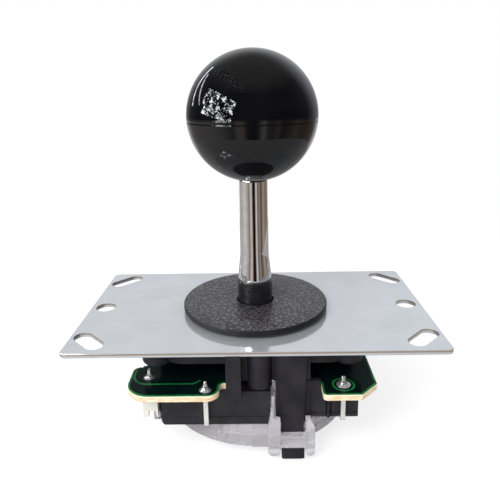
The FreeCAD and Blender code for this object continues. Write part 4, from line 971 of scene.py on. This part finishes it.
def hang_panel(
    name, material, bearing, elevation, wide, tall, roll=0, distance=0.6, columns=1, rows=1, gap=0.0
):
    """A panel of panes that faces the ball, at angles and of a width and height in degrees.

    The distance is in metres, and the gap that each pane is drawn in by is a share of the panel.
    """
    bpy.ops.mesh.primitive_grid_add(x_subdivisions=columns, y_subdivisions=rows, size=1, location=(0, 0, 0))
    panel = begin(name)
    if gap:
        bpy.ops.object.mode_set(mode="EDIT")
        bpy.ops.mesh.select_mode(type="FACE")
        bpy.ops.mesh.select_all(action="SELECT")
        bpy.ops.mesh.inset(thickness=gap, use_individual=True)
        bpy.ops.mesh.select_all(action="INVERT")
        bpy.ops.mesh.delete(type="FACE")
        bpy.ops.object.mode_set(mode="OBJECT")
    round_z = Matrix.Rotation(math.radians(bearing), 4, "Z")
    tilt = Matrix.Rotation(math.radians(elevation), 4, "X")
    upright = Matrix.Rotation(math.radians(90), 4, "X")
    rolled = Matrix.Rotation(math.radians(roll), 4, "Z")
    width, height = (2 * distance * math.tan(math.radians(span) / 2) for span in (wide, tall))
    to_ball = Matrix.Translation((0, 0, BALL_MIDDLE * MM))
    away = Matrix.Translation((0, -distance, 0))
    size = Matrix.Diagonal((width, height, 1, 1))
    panel.data.transform(to_ball @ round_z @ tilt.inverted() @ away @ upright @ rolled @ size)
    panel.data.materials.append(material)
    for ray in ("camera", "diffuse", "shadow", "transmission", "volume_scatter"):
        setattr(panel, f"visible_{ray}", False)


leaves = start_glow("daylight through leaves", strength=28, leaf_size=19, open_share=-0.015)
hang_panel("window", leaves, -60, 16, wide=62, tall=34, roll=-10, distance=0.14, columns=4, rows=3, gap=0.012)
sill_glow = start_glow("light on the sill", strength=9, leaf_size=60, open_share=0.02)
hang_panel("sill", sill_glow, -52, -5, wide=32, tall=5)
frame_glow = start_glow("light on a window frame", strength=7, leaf_size=150, open_share=0.12)
hang_panel("frame_outer", frame_glow, -132, 22, wide=3.4, tall=34, roll=28)
hang_panel("frame_inner", frame_glow, -115, 24, wide=2.6, tall=34, roll=46)
haze = start_glow("light on the ceiling", strength=0.9, leaf_size=40, open_share=0.0)
hang_panel("ceiling_light", haze, -72, 58, wide=70, tall=9)

world = bpy.data.worlds.new("studio")
bpy.context.scene.world = world
world.use_nodes = True
look = world.node_tree.nodes.new("ShaderNodeTexCoord")
axes = world.node_tree.nodes.new("ShaderNodeSeparateXYZ")
wire(world, look.outputs["Generated"], axes.inputs[0])
rise = axes.outputs[2]
bearing = combine(world, "ARCTAN2", axes.outputs[0], combine(world, "MULTIPLY", axes.outputs[1], -1))
bearing = combine(world, "ADD", combine(world, "DIVIDE", bearing, 2 * math.pi), 0.5)


def room_ramp(stops):
    """Room tones by bearing: 0 and 1 lie behind the object, 0.5 at the camera, and less than 0.5 left."""
    node = world.node_tree.nodes.new("ShaderNodeValToRGB")
    marks = node.color_ramp.elements
    marks[0].position, marks[0].color = stops[0][0], (*stops[0][1], 1)
    marks[1].position, marks[1].color = stops[-1][0], (*stops[-1][1], 1)
    for position, colour in stops[1:-1]:
        marks.new(position).color = (*colour, 1)
    wire(world, bearing, node.inputs[0])
    return node.outputs[0]


lower_room = room_ramp([
    (0.08, (0.9, 0.9, 0.92)), (0.13, (0.40, 0.38, 0.39)), (0.18, (0.42, 0.40, 0.40)),
    (0.29, (0.66, 0.62, 0.60)), (0.34, (0.50, 0.48, 0.46)), (0.405, (0.19, 0.18, 0.17)),
    (0.43, (0.64, 0.57, 0.54)), (0.455, (0.60, 0.49, 0.46)), (0.475, (0.12, 0.07, 0.06)),
    (0.49, (0.004, 0.002, 0.002)), (0.525, (0.004, 0.002, 0.002)), (0.558, (0.80, 0.76, 0.76)),
    (0.578, (0.20, 0.17, 0.15)), (0.605, (0.18, 0.15, 0.12)), (0.628, (0.32, 0.27, 0.24)),
    (0.652, (0.09, 0.07, 0.06)), (0.68, (0.14, 0.12, 0.11)), (0.73, (0.38, 0.32, 0.25)),
    (0.77, (0.22, 0.17, 0.12)), (0.84, (0.25, 0.19, 0.15)), (0.87, (0.32, 0.26, 0.23)),
    (0.91, (0.95, 0.94, 0.95)),
])
upper_room = room_ramp([
    (0.05, (0.75, 0.76, 0.79)), (0.14, (0.14, 0.14, 0.15)), (0.22, (0.04, 0.04, 0.05)),
    (0.45, (0.03, 0.03, 0.035)), (0.70, (0.035, 0.035, 0.04)), (0.80, (0.12, 0.12, 0.14)),
    (0.86, (0.62, 0.63, 0.70)), (0.93, (0.80, 0.82, 0.88)), (0.98, (0.78, 0.79, 0.82)),
])
under_ceiling = spread(world, rise, 0.5, 0, 0.0, 0.35)
upper_room = between(world, under_ceiling, upper_room, (0.02, 0.02, 0.02))
room = between(world, spread(world, rise, 0, 1, -0.13, -0.06), lower_room, upper_room)
room = between(world, spread(world, rise, 0, 1, 0.62, 0.88), room, (0.25, 0.25, 0.25))
rays = world.node_tree.nodes.new("ShaderNodeLightPath")
tone = between(world, rays.outputs["Is Glossy Ray"], (0.7, 0.7, 0.7), room)
tone = between(world, seen_by_camera(world), tone, (1, 1, 1))
wire(world, tone, world.node_tree.nodes["Background"].inputs["Color"])


def hang_lamp(name, place, size, watts):
    """A square lamp that faces the plate's middle and isn't mirrored in the gloss parts."""
    bpy.ops.object.light_add(type="AREA", location=place)
    lamp = bpy.context.object
    lamp.name = name
    lamp.data.size = size
    lamp.data.energy = watts
    lamp.rotation_euler = (-Vector(place)).to_track_quat("-Z", "Y").to_euler()
    lamp.visible_glossy = False


hang_lamp("key_light", (-0.34, -0.42, 0.52), size=0.4, watts=3.2)
hang_lamp("fill_light", (-0.1, -0.42, 0.03), size=0.3, watts=0.8)


# Camera
# It looks from the front and a little above, close to the object, and the picture is shifted down.

CAMERA_PLACE = (0.83, -136.62, 61.98)
CAMERA_HEADING = 0.81
CAMERA_TILT = 77.54
CAMERA_ROLL = -1.05

bpy.ops.object.camera_add(location=(0, 0, 0))
camera = bpy.context.object
camera.name = "photo_camera"
view = Matrix.Translation(Vector(CAMERA_PLACE) * MM)
for degrees, axis in ((CAMERA_HEADING, "Z"), (CAMERA_TILT, "X"), (CAMERA_ROLL, "Z")):
    view = view @ Matrix.Rotation(math.radians(degrees), 4, axis)
camera.matrix_world = view
camera.data.sensor_width = 36
camera.data.lens = 36.54
camera.data.shift_x = 0.0008
camera.data.shift_y = -0.1038
camera.data.clip_start = 0.005
bpy.context.scene.camera = camera
